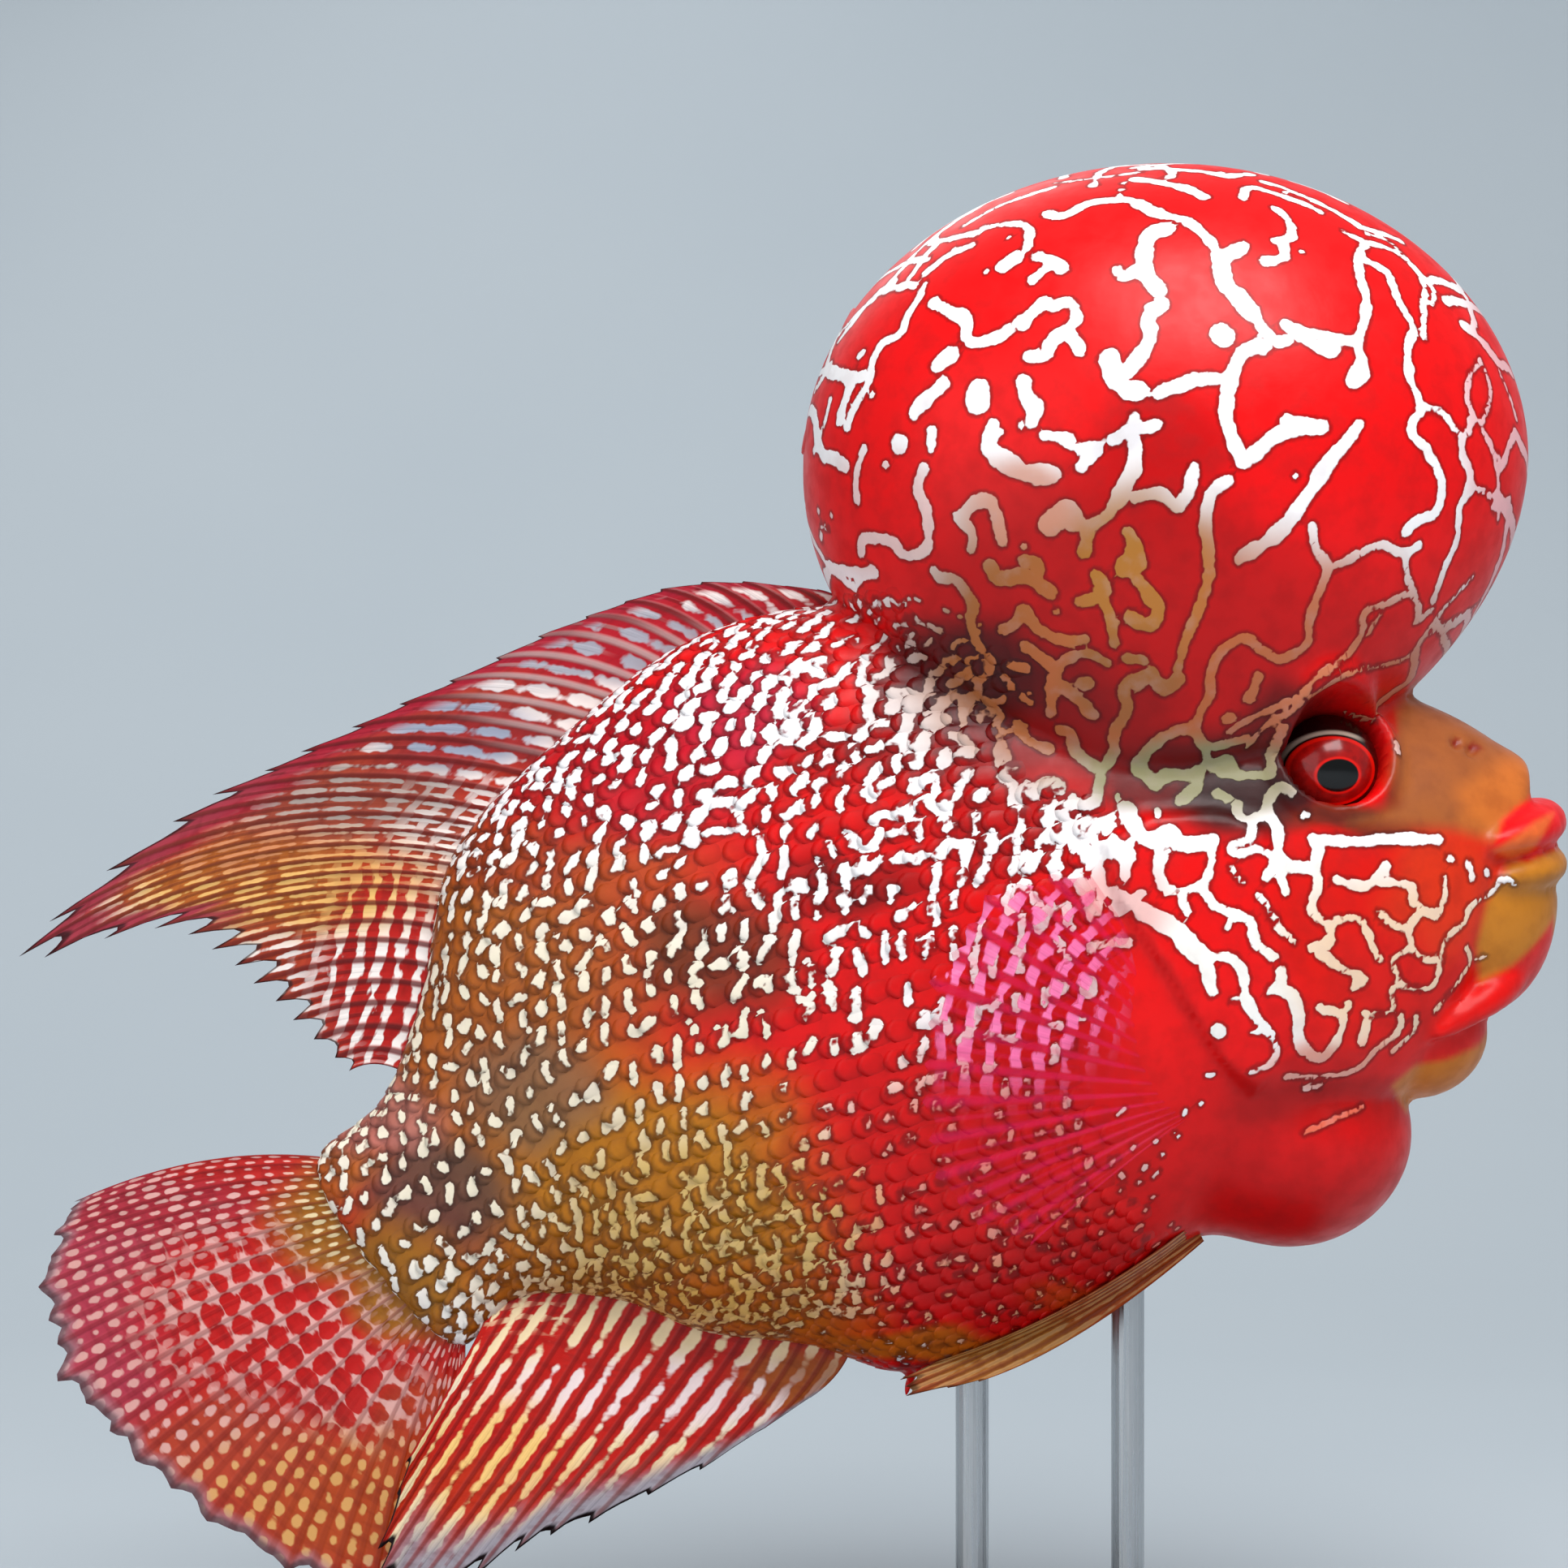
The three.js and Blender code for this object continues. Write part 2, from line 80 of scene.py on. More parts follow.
# Studio: a pale sheet that bends up from floor to wall, in millimetres, and soft lights
studio = {
    "floor": "c6ced4", "wall": "bcc6ce", "sky": "dfe6ea", "skyLight": 0.42,
    "wide": 4000, "sheet": 2200.0, "front": 1300.0, "bend": 500.0, "behind": 300,
}
lamps = (  # name, power, size, place and aim, in metres
    ("keyLight", 6.8, 0.5, (0.15, -0.45, 0.75), (0.01, 0, 0.1)),
    ("fillLight", 1.6, 0.7, (-0.55, -0.6, 0.25), (-0.02, 0, 0.08)),
    ("rimLight", 0.9, 0.5, (-0.2, 0.55, 0.6), (0, 0, 0.1)),
)


def put(tree, kind, inputs=None, **settings):
    made = tree.nodes.new(kind)
    for key, value in settings.items():
        setattr(made, key, value)
    for key, value in (inputs or {}).items():
        if isinstance(value, bpy.types.NodeSocket):
            tree.links.new(value, made.inputs[key])
        else:
            made.inputs[key].default_value = value
    return made


def calc(tree, operation, a, b=0.0, c=0.0):
    return put(tree, "ShaderNodeMath", {0: a, 1: b, 2: c}, operation=operation).outputs[0]


def blendColours(tree, factor, a, b, how="MIX"):
    return put(tree, "ShaderNodeMix", {0: factor, 6: a, 7: b}, data_type="RGBA", blend_type=how).outputs[2]


def ramped(tree, value, low, high, start=0.0, end=1.0):
    inputs = {0: value, 1: low, 2: high, 3: start, 4: end}
    return put(tree, "ShaderNodeMapRange", inputs, interpolation_type="SMOOTHSTEP").outputs[0]


def grain(tree, scale, detail, place=None):  # noise fixed to the object, 0 to 1
    if place is None:
        place = put(tree, "ShaderNodeTexCoord").outputs["Object"]
    return put(tree, "ShaderNodeTexNoise", {"Vector": place, "Scale": scale, "Detail": detail}).outputs["Fac"]


def bumped(tree, shader, height, strength, distance):
    bump = put(tree, "ShaderNodeBump", {"Height": height, "Strength": strength, "Distance": distance})
    tree.links.new(bump.outputs[0], shader.inputs["Normal"])


def attribute(tree, name, output="Fac"):
    return put(tree, "ShaderNodeAttribute", attribute_name=name).outputs[output]


def newMaterial(name, **sockets):
    material = bpy.data.materials.new(name)
    material.use_nodes = True
    tree = material.node_tree
    shader = tree.nodes["Principled BSDF"]
    for key, value in sockets.items():
        shader.inputs[key.replace("_", " ")].default_value = value
    return material, tree, shader


def addObject(name, bm, material):
    bmesh.ops.scale(bm, vec=(mm, mm, mm), verts=bm.verts)
    mesh = bpy.data.meshes.new(name)
    bm.to_mesh(mesh)
    bm.free()
    made = bpy.data.objects.new(name, mesh)
    bpy.context.scene.collection.objects.link(made)
    mesh.materials.append(material)
    mesh.shade_smooth()
    return made


def finishPiece(piece, slot, *nodes):
    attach(piece, "root")
    if nodes:
        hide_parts(*nodes)


def makeStudio():
    material, tree, shader = newMaterial("studioPaper", Roughness=0.9)
    tone = blendColours(tree, grain(tree, 6.0, 3.0), rgb(studio["floor"]), rgb(studio["wall"]))
    tree.links.new(tone, shader.inputs["Base Color"])
    bm = bmesh.new()
    bmesh.ops.create_grid(bm, x_segments=1, y_segments=60, size=0.5)
    for v in bm.verts:
        run, bend = studio["sheet"] * (v.co.y + 0.5) - studio["front"], studio["bend"]
        over = max(run, 0) / bend
        turn = min(over, math.pi / 2)
        rise = bend * (1 - math.cos(turn)) + max(over - math.pi / 2, 0) * bend
        v.co = (v.co.x * studio["wide"], min(run, 0) + bend * math.sin(turn) + studio["behind"], rise)
    floor = addObject("studioFloor", bm, material)
    for name, energy, size, place, aim in lamps:
        lamp = bpy.data.objects.new(name, bpy.data.lights.new(name, "AREA"))
        lamp.data.energy, lamp.data.size = energy, size
        lamp.location = place
        lamp.rotation_mode = "QUATERNION"
        lamp.rotation_quaternion = (Vector(aim) - Vector(place)).to_track_quat("-Z", "Y")
        bpy.context.scene.collection.objects.link(lamp)
    world = bpy.data.worlds.new("studioSky")
    world.use_nodes = True
    world.node_tree.nodes["Background"].inputs[0].default_value = rgb(studio["sky"])
    world.node_tree.nodes["Background"].inputs[1].default_value = studio["skyLight"]
    bpy.context.scene.world = world
    bpy.context.scene.view_settings.view_transform = "Standard"


makeStudio()
print("studio ready")

# The fish's forms, as in the solids: [back x, back z, belly x, belly z, half width]
stations = np.array([
    [-58.4, 46.8, -58.4, 46.8, 0],
    [-63.9, 56.8, -49.3, 38.4, 2.2],
    [-56.8, 63.9, -42.6, 43.4, 4.4],
    [-52.6, 75.1, -32.6, 43.4, 6.8],
    [-49.3, 89.3, -23.4, 40.1, 9.6],
    [-38.4, 101.0, -12.5, 38.8, 12.8],
    [-24.2, 111.5, -1.7, 35.9, 15.8],
    [-7.5, 115.0, 11.7, 40.1, 17.8],
    [8.3, 113.5, 22.5, 46.7, 18.6],
    [22.5, 111.9, 34.2, 55.9, 18.0],
    [35.9, 110.2, 45.1, 61.8, 16.2],
    [51.0, 104.4, 52.4, 69.6, 12.8],
    [57.4, 100.9, 55.6, 78.6, 9.6],
    [61.0, 98.0, 58.6, 84.4, 6.6],
    [58.6, 93.2, 58.6, 93.2, 0],
])
body = {"roundness": 0.86, "backPinch": 0.16, "swingFrom": 12, "swingReach": 106, "swingSide": 7}
hump = {
    "x": 23.8, "z": 129.5, "length": 37.2, "width": 25.5, "up": 30.5, "down": 38, "lean": 1.6,
    "narrowAlong": 1.45, "narrowAcross": 0.8,
}
eye = {
    "x": 39.1, "z": 98.0, "y": 9.6, "radius": 5.4, "tilt": 0.38, "forward": 0.12,
    "rim": 1.0, "rimOut": 0.75, "rimWide": 0.95, "brow": 0.5, "reach": 12, "sink": 0.4,
}
nostrils = {"deep": 0.9, "from": 1.5, "places": ((54.4, 99.9, 0.7), (52.8, 100.6, 0.6))}
lips = (  # tip, corner, half width and radii of the upper lip's two folds and the lower lip
    ((62.2, 92.6), (54.8, 90.2), 10.8, (2.8, 2.4)),
    ((62.9, 88.2), (55.6, 86.6), 9.7, (2.2, 2.0)),
    ((59.6, 78.2), (49.6, 71.0), 10.4, (1.9, 2.4)),
)
fleshyParts = (  # centre, length, width, height up and down, and fullness of jaw, chin and throat
    ((52.5, 0, 84.5), 11.6, 10.2, 5.4, 12.5, 0.8),
    ((49.2, 0, 71.0), 7.7, 8.8, 7.0, 7.0, 1.0),
    ((35.5, 0, 60.6), 13.6, 13.2, 12.0, 12.0, 1.0),
)
vent = {"path": [(-1.4, 0, 38), (-2.2, 0, 35.6), (-3.0, 0, 33.6)], "radii": (1.3, 1.3)}
cover = {
    "raised": 1.2, "beside": 4, "sharp": 0.8, "softAhead": (28, 38, 7), "softAbove": (90, 95, 3),
    "outline": [
        (15.6, 90.6), (20, 94.6), (27, 95.2), (34, 93.6), (37.6, 84), (42, 76), (46.5, 70.5),
        (44, 66.6), (37.6, 64.4), (30.6, 64.8), (26.6, 70), (21.6, 78.2), (17.2, 84.6)],
}


def between(rows, s):  # a smooth curve through rows of numbers, s counted in rows
    rows, s = np.asarray(rows, float), np.atleast_1d(s)
    i = np.clip(np.floor(s).astype(int), 0, len(rows) - 2)
    f = (s - i)[:, None]
    a, b, c, d = (rows[np.clip(i + k, 0, len(rows) - 1)] for k in (-1, 0, 1, 2))
    return 0.5 * (
        2 * b + (c - a) * f + (2 * a - 5 * b + 4 * c - d) * f ** 2 + (3 * b - a - 3 * c + d) * f ** 3)


def signedPower(v, power):
    return np.sign(v) * np.abs(v) ** power


def bodyPoint(t, angle):
    backX, backZ, bellyX, bellyZ, half = between(stations, t * (len(stations) - 1)).T
    level = signedPower(np.cos(angle), body["roundness"])
    side = signedPower(np.sin(angle), body["roundness"])
    share, pinch = (1 + level) / 2, 1 - body["backPinch"] * np.maximum(level, 0) ** 2
    across = np.maximum(half, 0) * side * pinch
    return np.stack([bellyX + (backX - bellyX) * share, across, bellyZ + (backZ - bellyZ) * share], 1)


def humpPoint(t, angle):
    level, spread = np.cos(math.pi * t), np.sin(math.pi * t)
    below = level < 0
    long = np.where(below, spread ** hump["narrowAlong"], spread) * hump["length"]
    wide = np.where(below, spread ** hump["narrowAcross"], spread) * hump["width"]
    tall = np.where(below, hump["down"], hump["up"])
    return np.stack([
        hump["x"] - hump["lean"] * np.maximum(-level, 0) + long * np.cos(angle),
        wide * np.sin(angle), hump["z"] + level * tall], 1)


def gazeOf(side, forward, tilt):
    gaze = np.array([forward, side, tilt])
    return gaze / np.linalg.norm(gaze)


def swung(points):  # the tail swings to the fish's left
    moved = points.copy()
    behind = np.maximum(body["swingFrom"] - points[:, 0], 0) / body["swingReach"]
    moved[:, 1] += body["swingSide"] * behind ** 2
    return moved


def ball(bm, around, along, pointAt):
    made = bmesh.ops.create_uvsphere(bm, u_segments=around, v_segments=along, radius=1)["verts"]
    unit = np.array([v.co for v in made])
    places = pointAt(np.arccos(np.clip(unit[:, 2], -1, 1)) / math.pi, np.arctan2(unit[:, 1], unit[:, 0]))
    for v, place in zip(made, places):
        v.co = place
    return made


def egg(bm, centre, length, width, up, down, fullness):
    def pointAt(t, angle):
        level, spread = np.cos(math.pi * t), np.sin(math.pi * t) ** fullness
        return np.stack([
            centre[0] + length * spread * np.cos(angle), centre[1] + width * spread * np.sin(angle),
            centre[2] + level * np.where(level < 0, down, up)], 1)
    return ball(bm, 48, 32, pointAt)


def limb(bm, points, radii, around=20, along=48):
    def pointAt(t, angle):
        last = len(points) - 1
        middle = between(points, t * last)
        ahead, behind = (between(points, np.clip(t * last + step, 0, last)) for step in (0.05, -0.05))
        level = np.cross(ahead - behind, (0, 0, 1))
        level /= np.linalg.norm(level, axis=1)[:, None]
        fill = (np.sin(math.pi * t) ** 0.45)[:, None]
        upward = np.array([[0, 0, radii[1]]]) * fill * np.sin(angle)[:, None]
        return middle + level * radii[0] * fill * np.cos(angle)[:, None] + upward
    return ball(bm, around, along, pointAt)


def lip(bm, tip, corner, halfWidth, radii):
    mid = (corner[0] + (tip[0] - corner[0]) * 0.72, corner[1] + (tip[1] - corner[1]) * 0.6)
    half = [(corner[0], halfWidth, corner[1]), (mid[0], halfWidth * 0.68, mid[1])]
    return limb(bm, half + [(tip[0], 0, tip[1])] + [(x, -y, z) for x, y, z in reversed(half)], radii)


def outlineDepth(outline, x, z):  # how far inside a closed outline a point is, in millimetres
    inside, near = np.zeros(len(x), bool), np.full(len(x), 1e9)
    for (ax, az), (bx, bz) in zip(outline, outline[1:] + outline[:1]):
        ex, ez = bx - ax, bz - az
        share = np.clip(((x - ax) * ex + (z - az) * ez) / (ex * ex + ez * ez), 0, 1)
        near = np.minimum(near, np.hypot(x - ax - ex * share, z - az - ez * share))
        crosses = (az > z) != (bz > z)
        inside ^= crosses & (x < ax + ex * (z - az) / (ez if ez else 1e-9))
    return np.where(inside, near, -near)


# One skin over head, hump, gill covers, lips, jaw, throat, torso and tail stalk
skin = {
    "voxel": 0.56, "relax": 10, "forward": 0.6, "back": -0.56,
    "throat": (27.0, 55.0), "throatReach": 15.0, "throatRelax": 110,
}


def makeSkinForm():
    bm = bmesh.new()
    ball(bm, 96, 160, bodyPoint)
    ball(bm, 96, 64, humpPoint)
    for sizes in lips:
        lip(bm, *sizes)
    for sizes in fleshyParts:
        egg(bm, *sizes)
    limb(bm, vent["path"], vent["radii"])
    bmesh.ops.recalc_face_normals(bm, faces=bm.faces)
    form = addObject("fishSkin", bm, bpy.data.materials.new("spare"))
    fuse = form.modifiers.new("fuse", "REMESH")
    fuse.mode, fuse.voxel_size = "VOXEL", skin["voxel"] * mm
    fused = bpy.data.meshes.new_from_object(form.evaluated_get(bpy.context.evaluated_depsgraph_get()))
    form.modifiers.clear()
    form.data = fused
    fused.shade_smooth()
    return form


def readPoints(mesh):
    points = np.empty(len(mesh.vertices) * 3)
    mesh.vertices.foreach_get("co", points)
    return points.reshape(-1, 3) / mm


def writePoints(mesh, points):
    mesh.vertices.foreach_set("co", (points * mm).ravel())
    mesh.update()


def readNormals(mesh):
    normals = np.empty(len(mesh.vertices) * 3)
    mesh.vertices.foreach_get("normal", normals)
    return normals.reshape(-1, 3)


def relaxed(mesh, points, times, share, back):  # smoothed, each second turn going back against shrinking
    ends = np.empty(len(mesh.edges) * 2, int)
    mesh.edges.foreach_get("vertices", ends)
    ends = ends.reshape(-1, 2)
    share = np.ones(len(points)) * share
    a, b = ends[share[ends].max(axis=1) > 0].T
    count = np.maximum(np.bincount(a, minlength=len(points)) + np.bincount(b, minlength=len(points)), 1)
    for turn in range(times):
        total = np.stack([
            np.bincount(a, points[b, k], len(points)) + np.bincount(b, points[a, k], len(points))
            for k in range(3)], 1)
        pull = share * (back if turn % 2 else skin["forward"])
        points = points + (total / count[:, None] - points) * pull[:, None]
    return points


fishSkin = makeSkinForm()
skinMesh = fishSkin.data
points = relaxed(skinMesh, readPoints(skinMesh), skin["relax"], 1.0, skin["back"])
# The throat runs into the belly with no crease
fromThroat = np.hypot(points[:, 0] - skin["throat"][0], points[:, 2] - skin["throat"][1])
nearThroat = 1 - smooth(0.35, 1, fromThroat / skin["throatReach"])
points = relaxed(skinMesh, points, skin["throatRelax"], nearThroat, skin["forward"])
writePoints(skinMesh, points)
normals = readNormals(skinMesh)
print("skin fused,", len(points), "points,", len(skinMesh.polygons), "faces")

# Gill covers stand proud of the cheek, sharp behind and soft in front
depth = outlineDepth(cover["outline"], points[:, 0], points[:, 2])
softness = cover["sharp"]
for axis, (low, high, softer) in ((0, cover["softAhead"]), (2, cover["softAbove"])):
    softness = softness + softer * smooth(low, high, points[:, axis])
flank = np.abs(points[:, 1]) > cover["beside"]
points += normals * (cover["raised"] * smooth(0, 1, depth / softness) * flank)[:, None]

# Eye sockets with a raised rim, thicker over the eye
for side in (1, -1):
    gaze = gazeOf(side, eye["forward"], eye["tilt"])
    reach = points - np.array([eye["x"], side * eye["y"], eye["z"]])
    out = reach @ gaze
    away = np.linalg.norm(reach - out[:, None] * gaze, axis=1)
    near = (out > -3) & (away < eye["reach"])
    above = 1 + eye["brow"] * smooth(-1, 5, reach[:, 2])
    rim = eye["rim"] * above * np.exp(-((away - eye["radius"] - eye["rimOut"]) / eye["rimWide"]) ** 2)
    points += normals * (rim * near)[:, None]
    sink = np.maximum(out - eye["sink"], 0) * (1 - smooth(eye["radius"] - 0.7, eye["radius"] + 0.3, away))
    points -= gaze * (sink * near)[:, None]

# Nostrils
for x, z, r in nostrils["places"]:
    beside = np.abs(points[:, 1]) > nostrils["from"]
    pit = np.exp(-(np.hypot(points[:, 0] - x, points[:, 2] - z) / r) ** 2) * beside
    points -= normals * (nostrils["deep"] * pit)[:, None]
writePoints(skinMesh, swung(points))
points, normals = readPoints(skinMesh), readNormals(skinMesh)
photoX, photoY = asPhoto(points)
print("skin shaped")


# Where each point of the skin lies: millimetres along the body, and down from its side line
def bodyFlow(points):
    still = points.copy()
    still[:, 1] -= swung(points)[:, 1] - points[:, 1]
    low, high = np.zeros(len(points)), np.full(len(points), len(stations) - 1.0)
    for _ in range(22):  # the station whose cut runs through each point, by halving
        s = (low + high) / 2
        backX, backZ, bellyX, bellyZ, _w = between(stations, s).T
        turn = (backX - bellyX) * (still[:, 2] - bellyZ) - (backZ - bellyZ) * (still[:, 0] - bellyX)
        ahead = turn < 0
        low, high = np.where(ahead, s, low), np.where(ahead, high, s)
    backX, backZ, bellyX, bellyZ, half = between(stations, s).T
    tall = np.hypot(backX - bellyX, backZ - bellyZ) + 1e-6
    share = (still[:, 0] - bellyX) * (backX - bellyX) + (still[:, 2] - bellyZ) * (backZ - bellyZ)
    share = share / tall ** 2
    angle = np.arccos(signedPower(np.clip(2 * share - 1, -1, 1), 1 / body["roundness"]))
    middle = between(stations, np.linspace(0, len(stations) - 1, 400))
    middle = (middle[:, :2] + middle[:, 2:4]) / 2
    run = np.concatenate([[0], np.cumsum(np.hypot(*np.diff(middle, axis=0).T))])
    along = np.interp(s, np.linspace(0, len(stations) - 1, 400), run)
    down = (angle - math.pi / 2) * np.sqrt((tall ** 2 / 4 + half ** 2) / 2)
    return along, down, still[:, 1]


along, down, sideways = bodyFlow(points)


# Markings: soft spots as (photo x, photo y, half width, half height, colour or values, strength)
def dabbed(start, spots, x, y, wobble=None):
    if wobble is not None:
        x, y = x + wobble[0], y + wobble[1]
    value = np.tile(np.atleast_1d(np.array(start, float)), (len(x), 1))
    for spotX, spotY, wide, tall, change, strength in spots:
        weight = strength * (1 - smooth(0.55, 1.25, np.hypot((x - spotX) / wide, (y - spotY) / tall)))
        change = np.atleast_1d(np.array(rgb(change) if isinstance(change, str) else change, float))
        value += (change - value) * weight[:, None]
    return value


def zoned(value, zones, x, y):  # areas with a clear edge, as (colour, softness in photo pixels, outline)
    for tone, soft, outline in zones:
        weight = smooth(-soft, soft, outlineDepth(outline, x, y))
        value += (np.array(rgb(tone)) - value) * weight[:, None]
    return value


def wobbleOf(points, size, reach):
    out = np.empty((2, len(points)))
    for i, p in enumerate(points):
        v = noise.noise_vector(Vector(p) / size)
        out[0, i], out[1, i] = v.x * reach, v.y * reach
    return out


def addAttribute(mesh, name, values):
    values = np.asarray(values, float)
    width = 1 if values.ndim == 1 else values.shape[1]
    kind, field = {1: ("FLOAT", "value"), 3: ("FLOAT_VECTOR", "vector"), 4: ("FLOAT_COLOR", "color")}[width]
    layer = mesh.attributes.new(name, kind, "POINT")
    layer.data.foreach_set(field, values.astype(np.float32).reshape(-1, width).ravel())


skinSpots = [
    # hump: darker red low down and behind, painted shade where the hump faces down and overhangs the body
    (1435, 470, 480, 330, "f2060a", 1.0), (1330, 760, 230, 190, "b00406", 0.85),
    (1500, 820, 260, 130, "c40506", 0.7), (1400, 560, 90, 60, "b40407", 0.6),
    (1250, 880, 160, 80, "7c0405", 0.7), (1180, 840, 110, 70, "3c0404", 0.85),
    # head: the dark spots under the hump's front edge and behind the eye, and the darker band along the crease
    # under the cheek, are painted shade
    (1460, 960, 150, 60, "5c0606", 0.9), (1530, 985, 100, 45, "260605", 0.9),
    (1560, 900, 60, 60, "420806", 0.7), (1480, 1180, 170, 150, "f00808", 0.9),
    (1690, 1150, 160, 150, "dc1408", 0.85), (1760, 1090, 90, 80, "e03a14", 0.7),
    (1660, 1012, 110, 24, "7e2410", 0.8), (1620, 1430, 160, 120, "d4080a", 1.0),
    (1640, 1350, 160, 40, "a80c0a", 0.6),
    # flank: red in front, orange and gold behind, with grey-brown and dark patches
    (700, 1120, 200, 200, "bc4818", 0.9), (560, 1250, 220, 260, "b4601e", 0.95),
    (820, 1480, 250, 190, "c07a14", 0.95), (700, 1610, 260, 110, "b86812", 0.9),
    (930, 1600, 160, 60, "c86414", 0.9), (540, 1470, 110, 80, "4e443c", 0.8),
    (660, 1340, 100, 70, "7a6650", 0.6), (890, 1170, 100, 80, "4a3418", 0.7),
    (1040, 1090, 90, 40, "4c0a08", 0.6), (720, 950, 190, 100, "cc0c1c", 0.85),
    # the pink spot at (910, 880) on the nape is a painted highlight
    (640, 1060, 90, 60, "b83a18", 0.7), (910, 880, 100, 70, "b02c50", 0.5),
    (820, 960, 110, 80, "d00c24", 0.7), (1100, 930, 140, 60, "8c0506", 0.6),
    (1230, 1000, 120, 60, "a00606", 0.6), (1050, 1000, 120, 50, "e40808", 0.7),
    (1200, 1400, 240, 210, "dc080a", 0.9), (1250, 1560, 240, 60, "c00608", 0.7),
    (1130, 1650, 190, 26, "c4640e", 0.9), (1400, 1590, 140, 24, "c8500e", 0.7),
    (460, 1370, 90, 60, "c8807c", 0.6), (380, 1450, 80, 60, "b87424", 0.6),
    (470, 1590, 110, 90, "a86c18", 0.95), (1712, 950, 26, 66, "8c3a1c", 0.9),
    (1650, 1010, 70, 20, "7a2812", 0.8),
]
faceZones = [
    ("a85c2c", 14, [
        (1700, 940), (1706, 880), (1735, 842), (1790, 860), (1860, 900), (1915, 948), (1880, 985),
        (1840, 1000), (1826, 1034), (1770, 1020), (1640, 1010), (1700, 990)]),
    ("d0702c", 20, [
        (1780, 975), (1840, 935), (1890, 925), (1905, 950), (1866, 990), (1826, 1030), (1780, 1012)]),
    ("c41808", 5, [(1640, 862), (1690, 852), (1706, 880), (1704, 906), (1690, 890), (1664, 876)]),
    # dark nostril spots: painted shade in the nostril pits
    ("8a1c10", 4, [(1774, 914), (1783, 910), (1788, 918), (1780, 922)]),
    ("8a1c10", 4, [(1793, 921), (1806, 915), (1816, 922), (1804, 929)]),
    ("c87c22", 8, [
        (1840, 1062), (1945, 1030), (1945, 1110), (1925, 1175), (1896, 1150), (1850, 1185), (1808, 1205),
        (1800, 1160), (1812, 1110)]),
    ("f20812", 5, [
        (1850, 996), (1886, 975), (1945, 975), (1945, 1035), (1890, 1050), (1862, 1060), (1818, 1042),
        (1832, 1010)]),
    ("ec6a30", 5, [(1819, 1046), (1872, 1011), (1900, 1000), (1868, 1048), (1842, 1056)]),
    ("e80c08", 6, [
        (1905, 1132), (1915, 1180), (1880, 1235), (1850, 1248), (1810, 1285), (1760, 1300), (1716, 1300),
        (1760, 1250), (1812, 1214), (1862, 1182)]),
    ("d2761a", 6, [
        (1768, 1300), (1812, 1284), (1852, 1246), (1870, 1262), (1845, 1320), (1780, 1358), (1725, 1366),
        (1700, 1330), (1728, 1306)]),
]
markSpots = [  # colour of the pale markings: tan low on the hump, olive behind the eye, gold towards the tail
    (1330, 800, 260, 190, "a4622c", 1.0), (1520, 830, 330, 150, "c4683c", 0.95),
    (1250, 640, 70, 60, "d08a70", 0.8), (1080, 640, 90, 80, "e09a90", 0.6),
    (1380, 740, 90, 110, "b47a2c", 0.7), (1440, 960, 150, 50, "96926a", 0.95),
    (1370, 850, 80, 60, "9c6234", 0.8), (1840, 560, 70, 300, "f08a90", 0.7),
    (1350, 560, 40, 30, "d8d0d4", 0.5), (1500, 1150, 200, 120, "fffaf2", 0.9),
    (1700, 1180, 150, 130, "f0c090", 0.75), (1640, 1310, 120, 40, "f07850", 0.7),
    (700, 1350, 400, 300, "f8e8c8", 0.85), (1200, 1450, 230, 170, "ee8e7c", 0.95),
    (880, 1500, 220, 150, "deb45e", 0.9), (850, 1600, 260, 60, "e0a850", 0.8),
    (1360, 1120, 60, 60, "f0a09a", 0.7), (1640, 1380, 90, 44, "ea6a50", 1.0),
    (1370, 1540, 170, 100, "ee7a60", 0.9), (1190, 1600, 150, 60, "ec9a6c", 0.9),
]
pearlSpots = [  # scattered marks: (half width in mm, length in mm, share of places filled, lean in degrees)
    (1000, 960, 420, 260, (0.45, 1.8, 0.9, 48), 1.0), (790, 890, 210, 130, (0.6, 0.8, 0.92, 40), 1.0),
    (640, 1140, 260, 260, (0.45, 1.2, 0.97, 60), 1.0), (900, 1300, 200, 130, (0.42, 1.3, 0.92, 60), 1.0),
    (1030, 1160, 190, 90, (0.43, 1.8, 0.85, 48), 1.0), (570, 1400, 240, 150, (0.46, 0.8, 0.97, 50), 1.0),
    (1200, 1400, 260, 190, (0.38, 0.7, 0.55, 30), 1.0), (860, 1530, 260, 130, (0.4, 1.5, 0.97, 88), 1.0),
    (1450, 1440, 120, 120, (0.28, 0.2, 0.8, 0), 1.0), (1150, 1270, 150, 60, (0.46, 1.4, 0.6, 48), 1.0),
    (1180, 880, 120, 80, (0.54, 2.0, 0.95, 50), 1.0), (1290, 1060, 70, 60, (0.5, 2.0, 0.9, 60), 1.0),
    (1180, 1660, 280, 50, (0.3, 0.4, 0.35, 30), 1.0), (960, 780, 260, 50, (0.42, 1.4, 0.75, 48), 1.0),
    (1370, 1550, 130, 80, (0.3, 0.25, 0.6, 20), 1.0), (1190, 1600, 130, 55, (0.32, 0.4, 0.6, 30), 1.0),
    (1122, 1706, 24, 24, (0, 0, 0, 0), 1.0), (1470, 560, 460, 330, (0, 0, 0, 0), 1.0),
    (1400, 1250, 90, 110, (0, 0, 0, 0), 1.0), (1620, 1100, 230, 230, (0, 0, 0, 0), 1.0),
    (1620, 1430, 190, 140, (0, 0, 0, 0), 1.0), (1450, 900, 230, 100, (0, 0, 0, 0), 1.0),
    (1850, 1100, 220, 420, (0, 0, 0, 0), 1.0),
]
